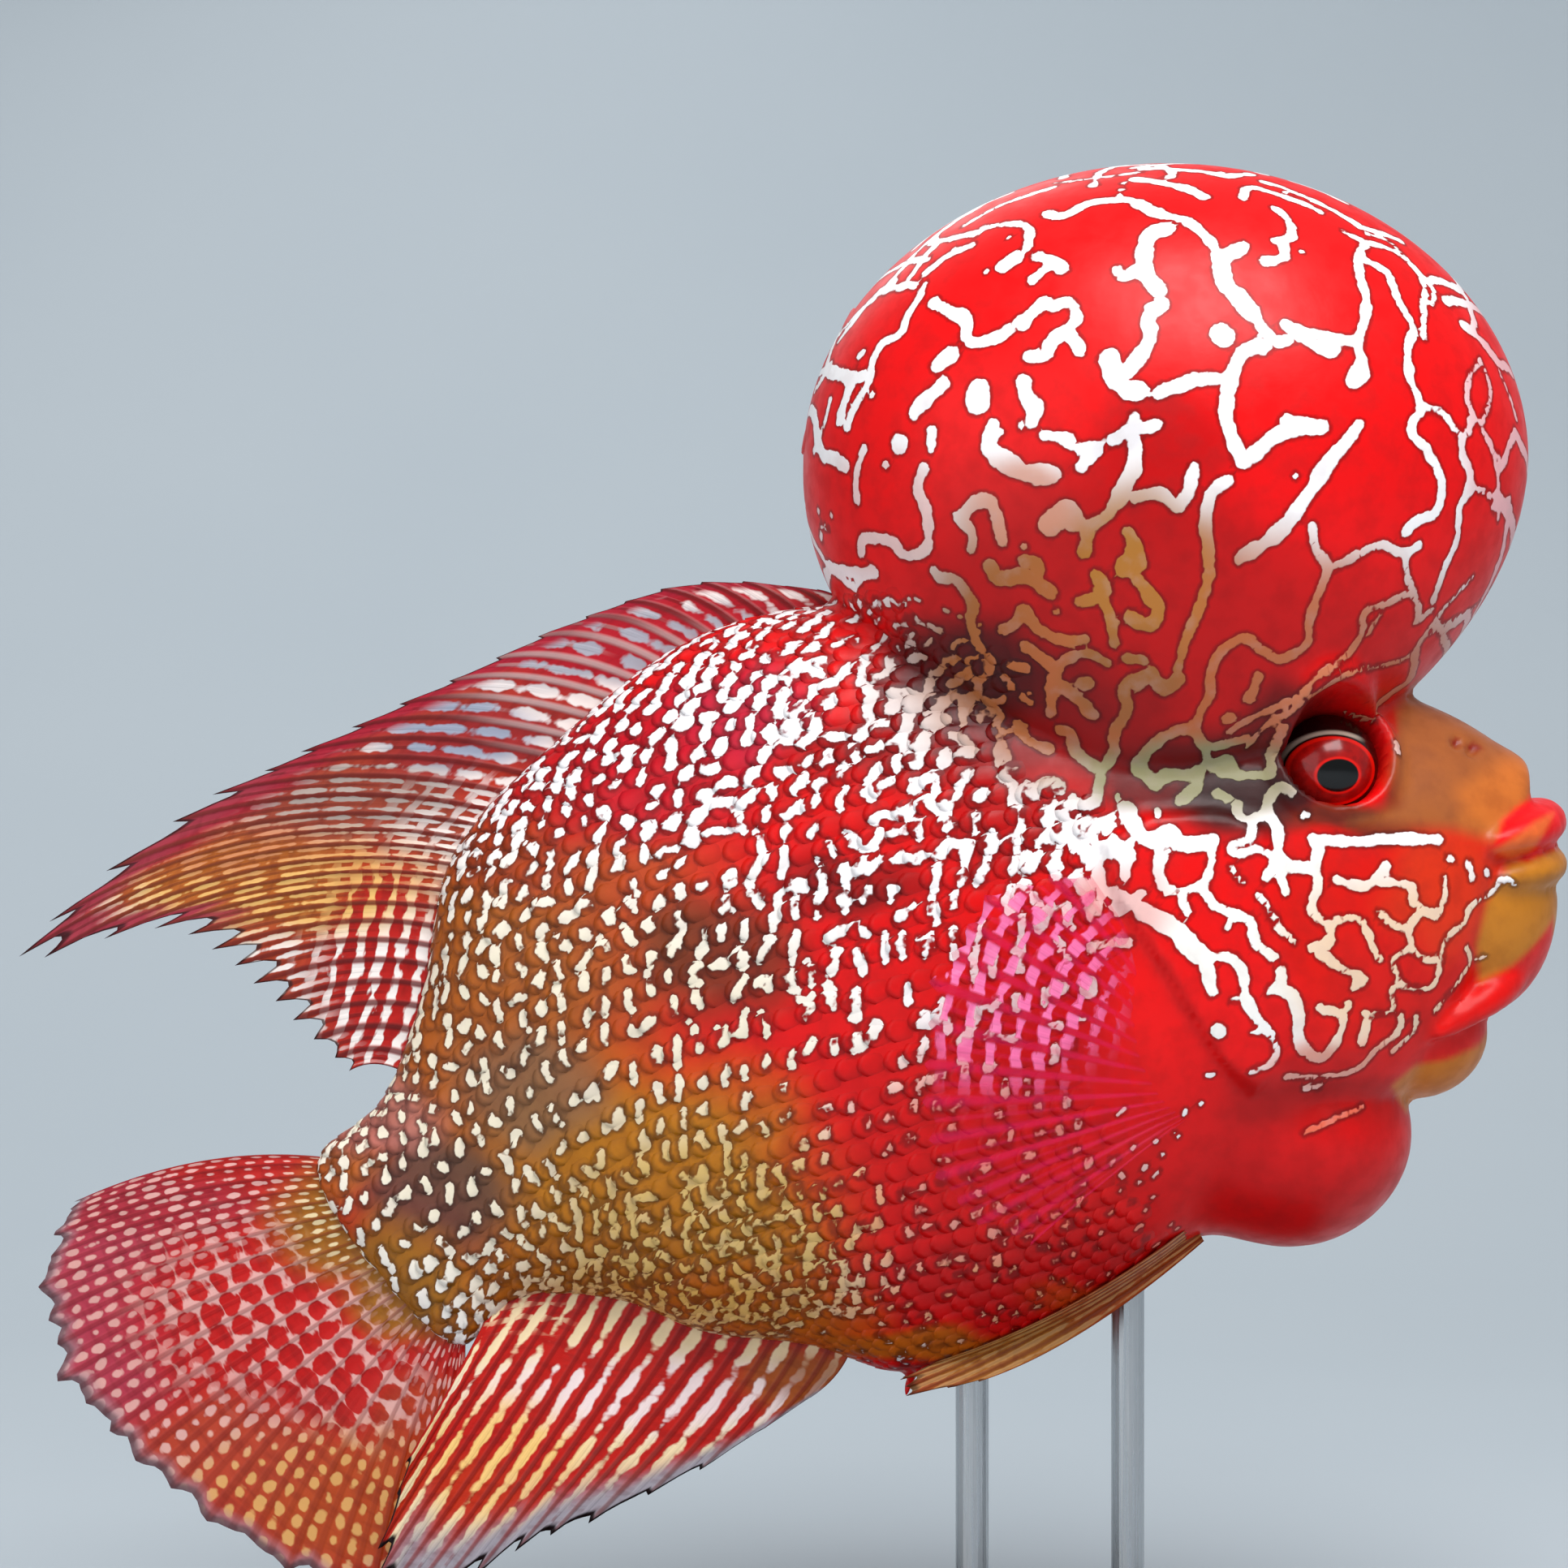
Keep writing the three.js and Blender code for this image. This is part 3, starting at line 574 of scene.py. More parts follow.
drawnLines = {  # full width in millimetres: paths in photo pixels
    2.4: "1510,944 1513,947",
    2.3: "1205,481 1205,497; 1505,412 1508,414",
    2.2: "1294,646 1312,630 1324,643",
    2.0: (
        "1677,457 1668,469; 1398,679 1401,695; 1410,1124 1449,1147 1469,1169 1484,1181; 1342,1214 1342,1219"),
    1.9: "1156,449 1171,437; 1367,443 1373,465 1389,480 1404,481; 1505,317 1508,346 1528,368 1543,387",
    1.8: (
        "1223,526 1220,553 1245,572 1269,584 1300,584; 1108,546 1109,549; 1355,1049 1372,1045 1392,1057"),
    1.7: "1438,281 1416,290 1410,318 1413,339 1428,358",
    1.6: (
        "1237,328 1251,318; 1260,397 1272,385 1288,373; 1127,508 1141,492 1162,474; 1261,471 1266,492 "
        "1275,504 1271,520; 1220,698 1232,713 1263,710 1294,731; 1335,842 1340,843; 1387,995 1397,1017 "
        "1410,1032 1427,1032 1442,1025 1454,1040 1474,1040 1494,1037; 1561,1000 1574,1022 1576,1049 "
        "1589,1067 1619,1069"),
    1.5: (
        "1431,376 1416,388 1416,419 1401,443 1389,459; 1531,304 1505,320; 1559,426 1534,432 1518,461 "
        "1512,486 1512,518 1528,563 1540,563 1579,534 1630,526; 1646,560 1604,621 1572,659 1528,688; "
        "1419,831 1435,850 1451,837; 1263,692 1278,695 1275,713; 1340,652 1336,679"),
    1.4: (
        "1278,316 1294,321 1309,330; 1398,514 1398,529; 1376,333 1385,342 1401,333 1410,339; 1512,467 "
        "1470,469 1426,485; 1513,885 1516,885; 1303,842 1324,857 1346,881; 1484,1181 1494,1221; 1500,1270 "
        "1503,1272; 1619,1034 1672,1037 1728,1033 1773,1035"),
    1.3: (
        "1150,373 1174,385 1190,394 1190,413; 1269,439 1288,437 1297,419 1315,410 1330,431; 1398,544 "
        "1398,578 1382,615; 1400,221 1432,225 1464,233 1483,242; 1585,518 1604,521 1630,526; 1674,524 "
        "1655,550 1636,569 1617,598 1604,620; 1477,952 1473,971 1454,987; 1499,978 1512,984; 1187,637 "
        "1199,621 1220,618 1229,643 1235,667; 1389,655 1398,676 1382,701 1398,710 1416,734 1428,750 "
        "1416,771 1392,759; 1352,710 1361,731 1330,741; 1263,796 1284,811 1300,826 1297,845 1294,878; "
        "1370,1099 1392,1112 1410,1122; 1489,1179 1517,1181 1531,1199 1534,1226 1544,1246 1559,1268; "
        "1566,1221 1579,1216 1596,1229 1601,1254 1599,1276 1606,1296; 1524,990 1526,1005 1541,1010 "
        "1559,1000 1564,982 1579,970 1591,977; 1571,1064 1561,1082; 1574,1069 1584,1099; 1616,1033 "
        "1625,1047 1619,1067; 1625,1173 1653,1193 1678,1207 1669,1215"),
    1.2: (
        "1294,327 1272,345; 1196,422 1220,419 1242,407; 1286,537 1312,540 1327,552 1352,552 1332,575; "
        "1373,543 1389,532 1425,524; 1291,263 1309,266 1343,250 1376,246 1404,250 1438,266; 1400,252 "
        "1426,263 1461,272 1489,295 1505,317; 1585,400 1604,416 1636,432 1646,429; 1400,614 1429,608 "
        "1451,624 1464,608 1470,576; 1512,592 1492,608 1486,643 1489,681; 1550,834 1540,860; 1473,895 "
        "1441,904 1419,920 1406,943 1422,968 1432,955 1464,955 1477,949; 1138,578 1131,603 1141,627 "
        "1144,649 1141,676 1116,684 1098,667 1064,664 1061,682; 1324,646 1346,646 1367,633 1376,612 "
        "1389,588 1398,560; 1361,741 1370,768 1373,793; 1235,777 1254,765 1263,753 1278,774 1306,788 "
        "1336,788; 1248,820 1263,823; 1419,829 1385,845 1389,875 1373,903 1373,927 1358,946 1336,936 "
        "1324,921 1318,900 1306,900; 1358,946 1352,979 1346,992 1321,989; 1438,906 1419,921 1401,943 "
        "1413,955 1425,967 1438,955; 1608,1004 1610,1004; 1647,1083 1683,1092 1709,1067; 1627,1243 "
        "1653,1252 1650,1277 1627,1305 1608,1291 1599,1269 1602,1252 1588,1226 1571,1218; 1683,1263 "
        "1678,1283; 1787,1058 1788,1059"),
    1.1: (
        "1141,336 1168,315 1197,302; 1294,379 1318,373 1327,391 1317,403; 1543,387 1569,419 1588,419; "
        "1572,257 1588,272 1591,292 1572,296; 1582,301 1582,317 1559,322; 1681,301 1674,320 1677,346 "
        "1684,368 1681,397 1674,422 1681,451; 1585,400 1623,413 1649,419 1674,419; 1489,681 1489,713 "
        "1477,751 1461,790 1451,825; 1760,560 1776,592 1770,630 1744,643 1732,656; 1473,898 1486,920 "
        "1534,911; 1486,920 1489,939 1508,952 1540,955 1566,952 1566,930 1582,895; 1180,637 1196,655 "
        "1197,676; 1150,704 1159,713 1177,713 1193,734 1199,744 1196,768 1205,793 1223,814; 1239,835 "
        "1245,845; 1275,979 1288,961 1309,967; 1235,958 1248,967 1248,989; 1254,891 1260,906 1284,921 "
        "1294,924; 1492,1045 1492,1064 1482,1089 1459,1099 1457,1109 1464,1124; 1579,1196 1580,1211; "
        "1541,1012 1541,1032 1517,1042 1526,1052 1549,1047 1571,1057; 1310,1005 1320,1025 1325,1049; "
        "1619,1067 1625,1092 1619,1106 1616,1125 1636,1140 1639,1162 1625,1173; 1700,1086 1740,1092 "
        "1742,1114 1768,1128; 1616,1168 1636,1162; 1810,1064 1814,1081; 1832,1075 1833,1075"),
    1.0: (
        "1211,281 1248,275 1268,283 1266,305; 1044,526 1052,504 1073,465 1075,446 1089,422 1110,410 "
        "1119,388 1131,370 1139,351; 1148,532 1147,553; 1531,244 1540,231 1572,239 1604,250 1626,260; "
        "1681,320 1709,336 1722,368 1741,403 1735,429 1738,467 1751,502 1741,518 1741,537 1760,556 "
        "1776,591 1776,617; 1618,649 1620,672 1636,700 1623,735 1614,764 1610,793 1579,812 1553,799 "
        "1531,786 1502,806 1492,831 1492,853 1480,876 1473,895; 1303,823 1318,811 1340,805 1364,817; "
        "1260,860 1269,866; 1389,811 1410,814; 1429,1045 1427,1069 1434,1092 1444,1097; 1482,1094 "
        "1494,1114 1514,1124 1541,1134 1544,1151 1549,1164 1569,1179; 1639,1137 1672,1131 1686,1151 "
        "1692,1168 1700,1182; 1700,1125 1717,1140 1734,1142 1751,1123; 1660,1239 1662,1239"),
    0.9: (
        "1024,425 1052,391 1082,364 1102,348; 1064,553 1055,587 1056,618; 994,495 1009,474 1023,449; "
        "1400,847 1419,834; 1636,700 1661,691 1700,672 1728,681 1748,672; 1196,832 1214,863 1232,878 "
        "1229,897 1242,936; 1357,1012 1345,1027 1355,1049 1350,1079 1337,1102 1352,1127; 1352,1164 "
        "1390,1161; 1725,1252 1723,1271 1695,1294 1678,1313 1644,1325 1585,1327; 1574,1142 1594,1159"),
    0.8: (
        "1188,278 1235,252 1297,231; 1023,492 1015,523 1003,556; 983,535 984,578 991,618; 1655,285 "
        "1681,298 1706,304 1732,320 1754,349 1754,384 1754,416; 1751,502 1776,508 1802,537 1815,515 "
        "1808,489 1811,464 1824,445; 1802,537 1802,563 1811,582 1805,617; 1732,684 1735,713 1748,751 "
        "1744,767 1764,751; 1732,732 1706,745 1681,755 1677,783 1655,812 1623,834 1607,853 1579,869 "
        "1547,882 1515,901; 1802,560 1815,598 1799,624 1795,665 1779,703 1767,739; 1021,652 1012,649 "
        "1012,664; 1517,1129 1512,1144; 1544,1271 1559,1271 1571,1283 1569,1308 1541,1321; 1551,1102 "
        "1571,1132 1589,1156; 1779,1081 1782,1100 1773,1125; 1734,1142 1737,1168 1717,1182 1723,1207 "
        "1728,1215; 1737,1168 1756,1182 1773,1184 1770,1207 1756,1218 1728,1215; 1745,1252 1742,1271 "
        "1717,1294; 1608,1341 1625,1339"),
    0.7: (
        "1379,241 1385,226; 1830,457 1837,486 1827,518 1811,518; 1827,531 1840,556 1846,591 1843,617; "
        "1815,598 1843,617 1846,640; 1846,560 1846,617; 1128,765 1159,777; 1534,1226 1517,1234; 1517,1069 "
        "1531,1087; 1728,1215 1714,1221 1716,1246 1681,1249; 1776,1182 1782,1156 1804,1137 1812,1117 "
        "1841,1097 1852,1083 1866,1089; 1807,1168 1812,1184 1801,1204 1768,1246; 1608,1395 1678,1364"),
    0.6: (
        "1300,226 1343,220 1370,217 1404,212; 1684,288 1712,298 1744,330 1767,359 1764,375; 1815,710 "
        "1773,758 1738,806 1712,818 1668,828 1623,853 1591,876 1559,895 1537,920; 1812,1184 1829,1179"),
    0.5: "1834,426 1859,486 1869,518; 1700,758 1687,780; 1846,713 1815,748 1767,777 1738,806",
}


stroke = {
    "step": 0.35, "uneven": 0.35, "half": 0.5, "faceHalf": 0.42, "faceFrom": 28, "faceUpTo": 96,
    "edge": 1.2, "none": -3.0,
}


def thickened(trail, half):  # a trail of points, each with its own half width, fuller and finer in turns
    start = random.uniform(0, 50)
    swell = [1 + stroke["uneven"] * noise.noise(Vector((start, k * 0.22, 0))) for k in range(len(trail))]
    return [(p, half * more) for p, more in zip(trail, swell)]


def drawnTrails(surface):  # laid on the skin along the camera's line of sight, and mirrored to the other side
    laid = []
    for side in (-1, 1):
        origin = Vector((view["lookX"], side * cameraAway, view["lookZ"]))
        for width, paths in drawnLines.items():
            for path in paths.split("; "):
                rows = [onPlane(*map(int, p.split(","))) for p in path.split()]
                steps = max(2, int(sum(math.dist(a, b) for a, b in zip(rows, rows[1:])) / stroke["step"]))
                hits = (surface.ray_cast(origin, Vector((x, 0, z)) - origin)[0]
                        for x, z in between(rows, np.linspace(0, len(rows) - 1, steps)))
                onFace = rows[0][0] > stroke["faceFrom"] and rows[0][1] < stroke["faceUpTo"]
                half = width * stroke["faceHalf" if onFace else "half"]
                laid.append(thickened([hit for hit in hits if hit is not None], half))
    return laid


crown = {  # turns over the hump in degrees, lengths and half widths in millimetres
    "from": -40, "to": 205, "every": 15, "beside": (-14, 0, 14), "widest": 21, "step": 0.62, "long": (9, 17),
    "branch": (4, 8), "fork": (1.6, 2.6), "half": (0.42, 0.72), "bend": 0.28,
}


def crownAim(turn, bank):  # a direction from the hump's centre, in degrees
    turn, bank = math.radians(turn), math.radians(bank)
    return Vector((math.cos(turn) * math.cos(bank), math.sin(bank), math.sin(turn) * math.cos(bank)))


def crownTrails(surface):  # seeded lines over the middle of the hump, where the drawn ones don't reach
    laid = []
    centre = Vector((hump["x"], 0, hump["z"]))
    for row, start in enumerate(range(crown["from"], crown["to"], crown["every"])):
        for beside in crown["beside"]:
            turn = start + random.uniform(-5, 5)
            bank = beside + random.uniform(-4, 4) + (row % 2) * 6 - 3
            heading, half = random.uniform(0, 2 * math.pi), random.uniform(*crown["half"])
            branches = [(heading, random.uniform(*crown["long"]))]
            branches.append((heading + random.uniform(*crown["fork"]), random.uniform(*crown["branch"])))
            for way, long in branches:
                trail, a, b = [], turn, bank
                for k in range(int(long / 0.4)):
                    hit = surface.ray_cast(centre, crownAim(a, b))[0]
                    if hit is None or abs(b) > crown["widest"]:
                        break
                    trail.append(hit)
                    way += crown["bend"] * noise.noise(Vector((start * 0.7, beside, k * 0.25)))
                    a, b = a + math.cos(way) * crown["step"], b + math.sin(way) * crown["step"]
                laid.append(thickened(trail, half))
    return laid


pearls = {
    "alongEvery": 2.35, "downEvery": 2.0, "reach": 60, "jitter": 0.4, "spread": 30, "longer": (0.5, 1.3),
    "forked": 0.28, "forkTurn": (-70, 70), "forkShare": 0.55, "forkFrom": 0.9, "finest": 0.2, "slack": 0.8,
}


def treeOf(places, names=None):
    made = kdtree.KDTree(len(places))
    for place, name in zip(places, range(len(places)) if names is None else names):
        made.insert(place, name)
    made.balance()
    return made


def flowTree(own):  # the given points of the skin by their place along and down the body
    return treeOf([(along[i], down[i], 0) for i in own], own)


def scaleGrid():  # the scales' places along and down the body, in staggered rows
    for row, d in enumerate(np.arange(-pearls["reach"], pearls["reach"], pearls["downEvery"])):
        for a in np.arange(0, along.max(), pearls["alongEvery"]) + (row % 2) * pearls["alongEvery"] / 2:
            yield a, d


def pearlTrails(values):  # one seeded mark for each scale of the flank
    laid = []
    for side in (-1, 1):
        flat = flowTree(np.flatnonzero(sideways * side > 0))
        for place in scaleGrid():
            a, d = (q + random.uniform(-1, 1) * pearls["jitter"] for q in place)
            swing, chance = random.gauss(0, 1), random.random()
            longer, fork = random.uniform(*pearls["longer"]), random.random()
            _co, i, away = flat.find((a, d, 0))
            half, length, share, lean = values[i]
            if away > pearls["slack"] or chance > share or half < pearls["finest"]:
                continue
            turn = math.radians(lean + swing * pearls["spread"])
            legs = [(turn, length * longer)]
            if fork < pearls["forked"] and length > pearls["forkFrom"]:
                legs.append((
                    turn + math.radians(random.choice(pearls["forkTurn"])), length * pearls["forkShare"]))
            for angle, reach in legs:
                ahead, lower = -reach * math.cos(angle), reach * math.sin(angle)
                steps = np.linspace(-0.5, 0.5, 1 + max(0, math.ceil(reach / stroke["step"])))
                trail = [flat.find((a + ahead * t, d + lower * t, 0))[1] for t in steps]
                laid.append(thickened([points[k] for k in trail], half))
    return laid


def strokeField(tree, count):  # how far inside a mark each point is, in millimetres
    field = np.full(count, stroke["none"])
    for trail in trails:
        for p, half in trail:
            for _co, i, away in tree.find_range(p, half + stroke["edge"]):
                field[i] = max(field[i], half - away)
    return field


surface = BVHTree.FromPolygons([Vector(p) for p in points], [list(f.vertices) for f in skinMesh.polygons])
skinTree = treeOf(points)
wobble = wobbleOf(points, 6.0, 22)
pearlValues = dabbed((0.5, 1.0, 0.9, 48), pearlSpots, photoX, photoY)
trails = drawnTrails(surface) + crownTrails(surface) + pearlTrails(pearlValues)


def toneAt(x, y, wobble):
    return dabbed(rgb("e6080a"), skinSpots, x, y, wobble)


def markToneAt(x, y, wobble):
    return dabbed(rgb("fffafa"), markSpots, x, y, wobble)


addAttribute(skinMesh, "tone", zoned(toneAt(photoX, photoY, wobble), faceZones, photoX, photoY))
addAttribute(skinMesh, "markTone", markToneAt(photoX, photoY, wobble))
addAttribute(skinMesh, "mark", strokeField(skinTree, len(points)))
print("markings laid,", len(trails), "marks")


def makeSkinMaterial():
    material, tree, shader = newMaterial(
        "fishSkin", Roughness=0.38, Specular_IOR_Level=0.22, Coat_Weight=0.06, Coat_Roughness=0.2)
    fine = grain(tree, 420.0, 4.0)
    uneven = ramped(tree, grain(tree, 900.0, 2.0), 0.2, 0.8, -0.14, 0.14)
    field = calc(tree, "ADD", attribute(tree, "mark"), uneven)
    marked = ramped(tree, field, -0.06, 0.06)
    # a dark rim round each mark, partly the marks' own dark border and partly painted shade that makes them
    # look raised
    edge = calc(tree, "MULTIPLY", ramped(tree, field, -0.5, -0.05), 0.55)
    shade = ramped(tree, fine, 0.35, 0.75, 0.0, 0.22)
    tone = blendColours(tree, shade, attribute(tree, "tone", "Color"), rgb("7a0404"), "MULTIPLY")
    tone = blendColours(tree, edge, tone, rgb("220303"))
    dusty = ramped(tree, fine, 0.45, 0.7, 0.0, 0.18)
    pale = blendColours(tree, dusty, attribute(tree, "markTone", "Color"), rgb("c0a8a8"))
    tone = blendColours(tree, marked, tone, pale)
    tree.links.new(tone, shader.inputs["Base Color"])
    tree.links.new(ramped(tree, fine, 0.3, 0.7, 0.32, 0.46), shader.inputs["Roughness"])
    bumped(tree, shader, calc(tree, "ADD", marked, calc(tree, "MULTIPLY", fine, 0.5)), 0.3, 0.0003)
    return material


skinMesh.materials.clear()
skinMesh.materials.append(makeSkinMaterial())
finishPiece(
    fishSkin, "flank_skin", "head", "nuchal_hump", "torso", "tail_stalk", "throat", "upper_lip", "lower_jaw",
    "gill_cover_left", "gill_cover_right")
print("skin finished")


# Scales: thin plates in staggered rows, each rounded and raised behind and tucked under the one ahead
scales = {
    "half": 1.32, "long": 3.5, "raised": 0.2, "sunk": -0.08, "rim": -0.15, "rounded": 0.3,
    "across": 5, "rows": 5, "slack": 0.6, "offCover": -0.8, "markFrom": 0.29,
    "mapLong": 140, "mapTall": 124, "patch": 0.0015,
}
coverDepth = outlineDepth(cover["outline"], points[:, 0], points[:, 2])


def scalePlaces(side):
    flat = flowTree(np.flatnonzero(sideways * side > 0.4))
    for a, d in scaleGrid():
        _co, i, away = flat.find((a, d, 0))
        marked = pearlValues[i][0] > scales["markFrom"]
        if away < scales["slack"] and marked and coverDepth[i] < scales["offCover"]:
            out = Vector(normals[i])
            rearward = Vector(points[flat.find((a - 1.5, d, 0))[1]] - points[flat.find((a + 1.5, d, 0))[1]])
            rearward = (rearward - out * rearward.dot(out)).normalized()
            yield i, a, d, rearward, out.cross(rearward)


def plateShape(places, laid):  # each plate's points, painted shades and map places, its last row turned down
    for i, a, d, rearward, beside in laid:
        for u, step in places:
            t = min(step / scales["rows"], 1)
            rim = step > scales["rows"] + 0.5
            back = scales["long"] * (t * (1 - scales["rounded"] * u * u) - 0.5)
            place = Vector(points[i]) + rearward * back + beside * scales["half"] * u
            base, lift, _face, _away = surface.find_nearest(place)
            over = (scales["raised"] + 0.1) * t ** 0.8 * (1 - abs(u) ** 3) + scales["sunk"]
            # painted shade: each plate is darker at its front where it tucks under the plate ahead and on its
            # turned-down last row; the darker sides are partly the scales' own darker net
            shade = 1 - 0.3 * abs(u) ** 3 - 0.25 * max(0, 1 - 2 * t)
            spot = (a / scales["mapLong"] + 0.02 + u * scales["patch"],
                    (d + scales["mapTall"] / 2) / scales["mapTall"] + (2 * t - 1) * scales["patch"])
            yield base + lift * (scales["rim"] if rim else over), 0.5 if rim else shade, spot


def layScales(name, side):  # one plate, repeated by an array and then set in place
    bm = bmesh.new()
    bmesh.ops.create_grid(bm, x_segments=scales["across"], y_segments=scales["rows"] + 1, size=1)
    bm.loops.layers.uv.new("OFBake")
    plate = [(v.co.x, (v.co.y + 1) / 2 * (scales["rows"] + 1)) for v in bm.verts]
    laid = list(scalePlaces(side))
    piece = addObject(name, bm, skinMesh.materials[0])
    many = piece.modifiers.new("many", "ARRAY")
    many.count, many.use_relative_offset = len(laid), False
    mesh = bpy.data.meshes.new_from_object(piece.evaluated_get(bpy.context.evaluated_depsgraph_get()))
    piece.modifiers.clear()
    piece.data = mesh
    places, shade, spots = map(np.array, zip(*plateShape(plate, laid)))
    writePoints(mesh, places)
    corners = np.empty(len(mesh.loops), int)
    mesh.loops.foreach_get("vertex_index", corners)
    mesh.uv_layers["OFBake"].uv.foreach_set("vector", spots.astype(np.float32)[corners].ravel())
    firstPlate = scales["across"] * (scales["rows"] + 1)
    turned = np.array([f.normal for f in mesh.polygons[:firstPlate]]) @ normals[laid[0][0]]
    if turned.mean() < 0:
        mesh.flip_normals()
    mesh.shade_smooth()
    x, y = asPhoto(places)
    near = wobble[:, [skinTree.find(p)[1] for p in places]]
    paint = toneAt(x, y, near)
    # the plates' colour carries the painted shade from plateShape
    paint[:, :3] *= shade[:, None]
    addAttribute(mesh, "tone", paint)
    addAttribute(mesh, "markTone", markToneAt(x, y, near))
    addAttribute(mesh, "mark", strokeField(treeOf(places), len(places)))
    finishPiece(piece, "flank_skin")
    print(name, "laid,", len(laid), "scales,", len(mesh.polygons), "faces")


layScales("scalesLeft", 1)
layScales("scalesRight", -1)


# Fins
def rootOn(edge, s, sunk):
    backX, backZ, bellyX, bellyZ, _half = between(stations, s)[0]
    a, b = ((backX, backZ), (bellyX, bellyZ)) if edge == "back" else ((bellyX, bellyZ), (backX, backZ))
    deep = math.dist(a, b)
    return tuple(p + (q - p) * sunk / deep for p, q in zip(a, b))


finSheet = {
    "perRay": 5, "ragged": 0.04, "scallop": (0.04, 0.04), "stepped": (0.0, 0.0),
    "middle": (0.36, 0.22), "paired": (0.25, 0.15),
}


def finForm(fin, thick, lean):  # a closed sheet with a ridge along each ray on both faces
    perRay, rays, guides = finSheet["perRay"], fin["rays"], np.array(fin["guides"], float)
    scallop, stepped = (fin.get(key, finSheet[key]) for key in ("scallop", "stepped"))
    columns = perRay * (rays - 1)
    bm = bmesh.new()
    bmesh.ops.create_grid(bm, x_segments=columns, y_segments=fin["rows"], size=0.5)
    bm.verts.ensure_lookup_table()
    unit = np.array([v.co for v in bm.verts])
    u, v = unit[:, 0] + 0.5, unit[:, 1] + 0.5
    ray = np.round(u * columns) / perRay
    offRay = np.abs(ray - np.round(ray)) * 2
    rear = smooth(0.5, 0.75, u)
    notch = (scallop[0] + (scallop[1] - scallop[0]) * rear) * offRay ** 0.7
    step = (stepped[0] + (stepped[1] - stepped[0]) * rear) * (np.ceil(ray - 1e-6) - ray)
    fray = finSheet["ragged"] * np.array([noise.noise((r * 2.3, 0.5, 0)) for r in ray])
    reach = v * (1 - notch - step - fray)
    g = between(guides, u * (len(guides) - 1))
    a, b, c = (1 - reach) ** 2, 2 * reach * (1 - reach), reach ** 2
    x, z = a * g[:, 0] + b * g[:, 2] + c * g[:, 4], a * g[:, 1] + b * g[:, 3] + c * g[:, 5]
    half = thick[0] * (1 - 0.75 * v) + thick[1] * (1 - 0.7 * v) * np.cos(offRay * math.pi / 2) ** 2
    long = np.hypot(g[:, 4] - g[:, 0], g[:, 5] - g[:, 1])
    layer = bm.verts.layers.float_vector.new("ray")
    for vert, values in zip(bm.verts, np.stack([ray, v, long * reach], 1)):
        vert[layer] = values
    first = list(bm.verts)
    copy = bmesh.ops.duplicate(bm, geom=bm.verts[:] + bm.edges[:] + bm.faces[:])
    second = [copy["vert_map"][vert] for vert in first]
    for side, verts in ((1, first), (-1, second)):
        for vert, px, py, pz, more in zip(verts, x, lean(u, v), z, half):
            vert.co = (px, py + side * more, pz)
    bmesh.ops.bridge_loops(bm, edges=[e for e in bm.edges if e.is_boundary])
    bmesh.ops.recalc_face_normals(bm, faces=bm.faces)
    return bm


def movePoints(bm, mover):
    places = mover(np.array([v.co for v in bm.verts]))
    for v, place in zip(bm.verts, places):
        v.co = place


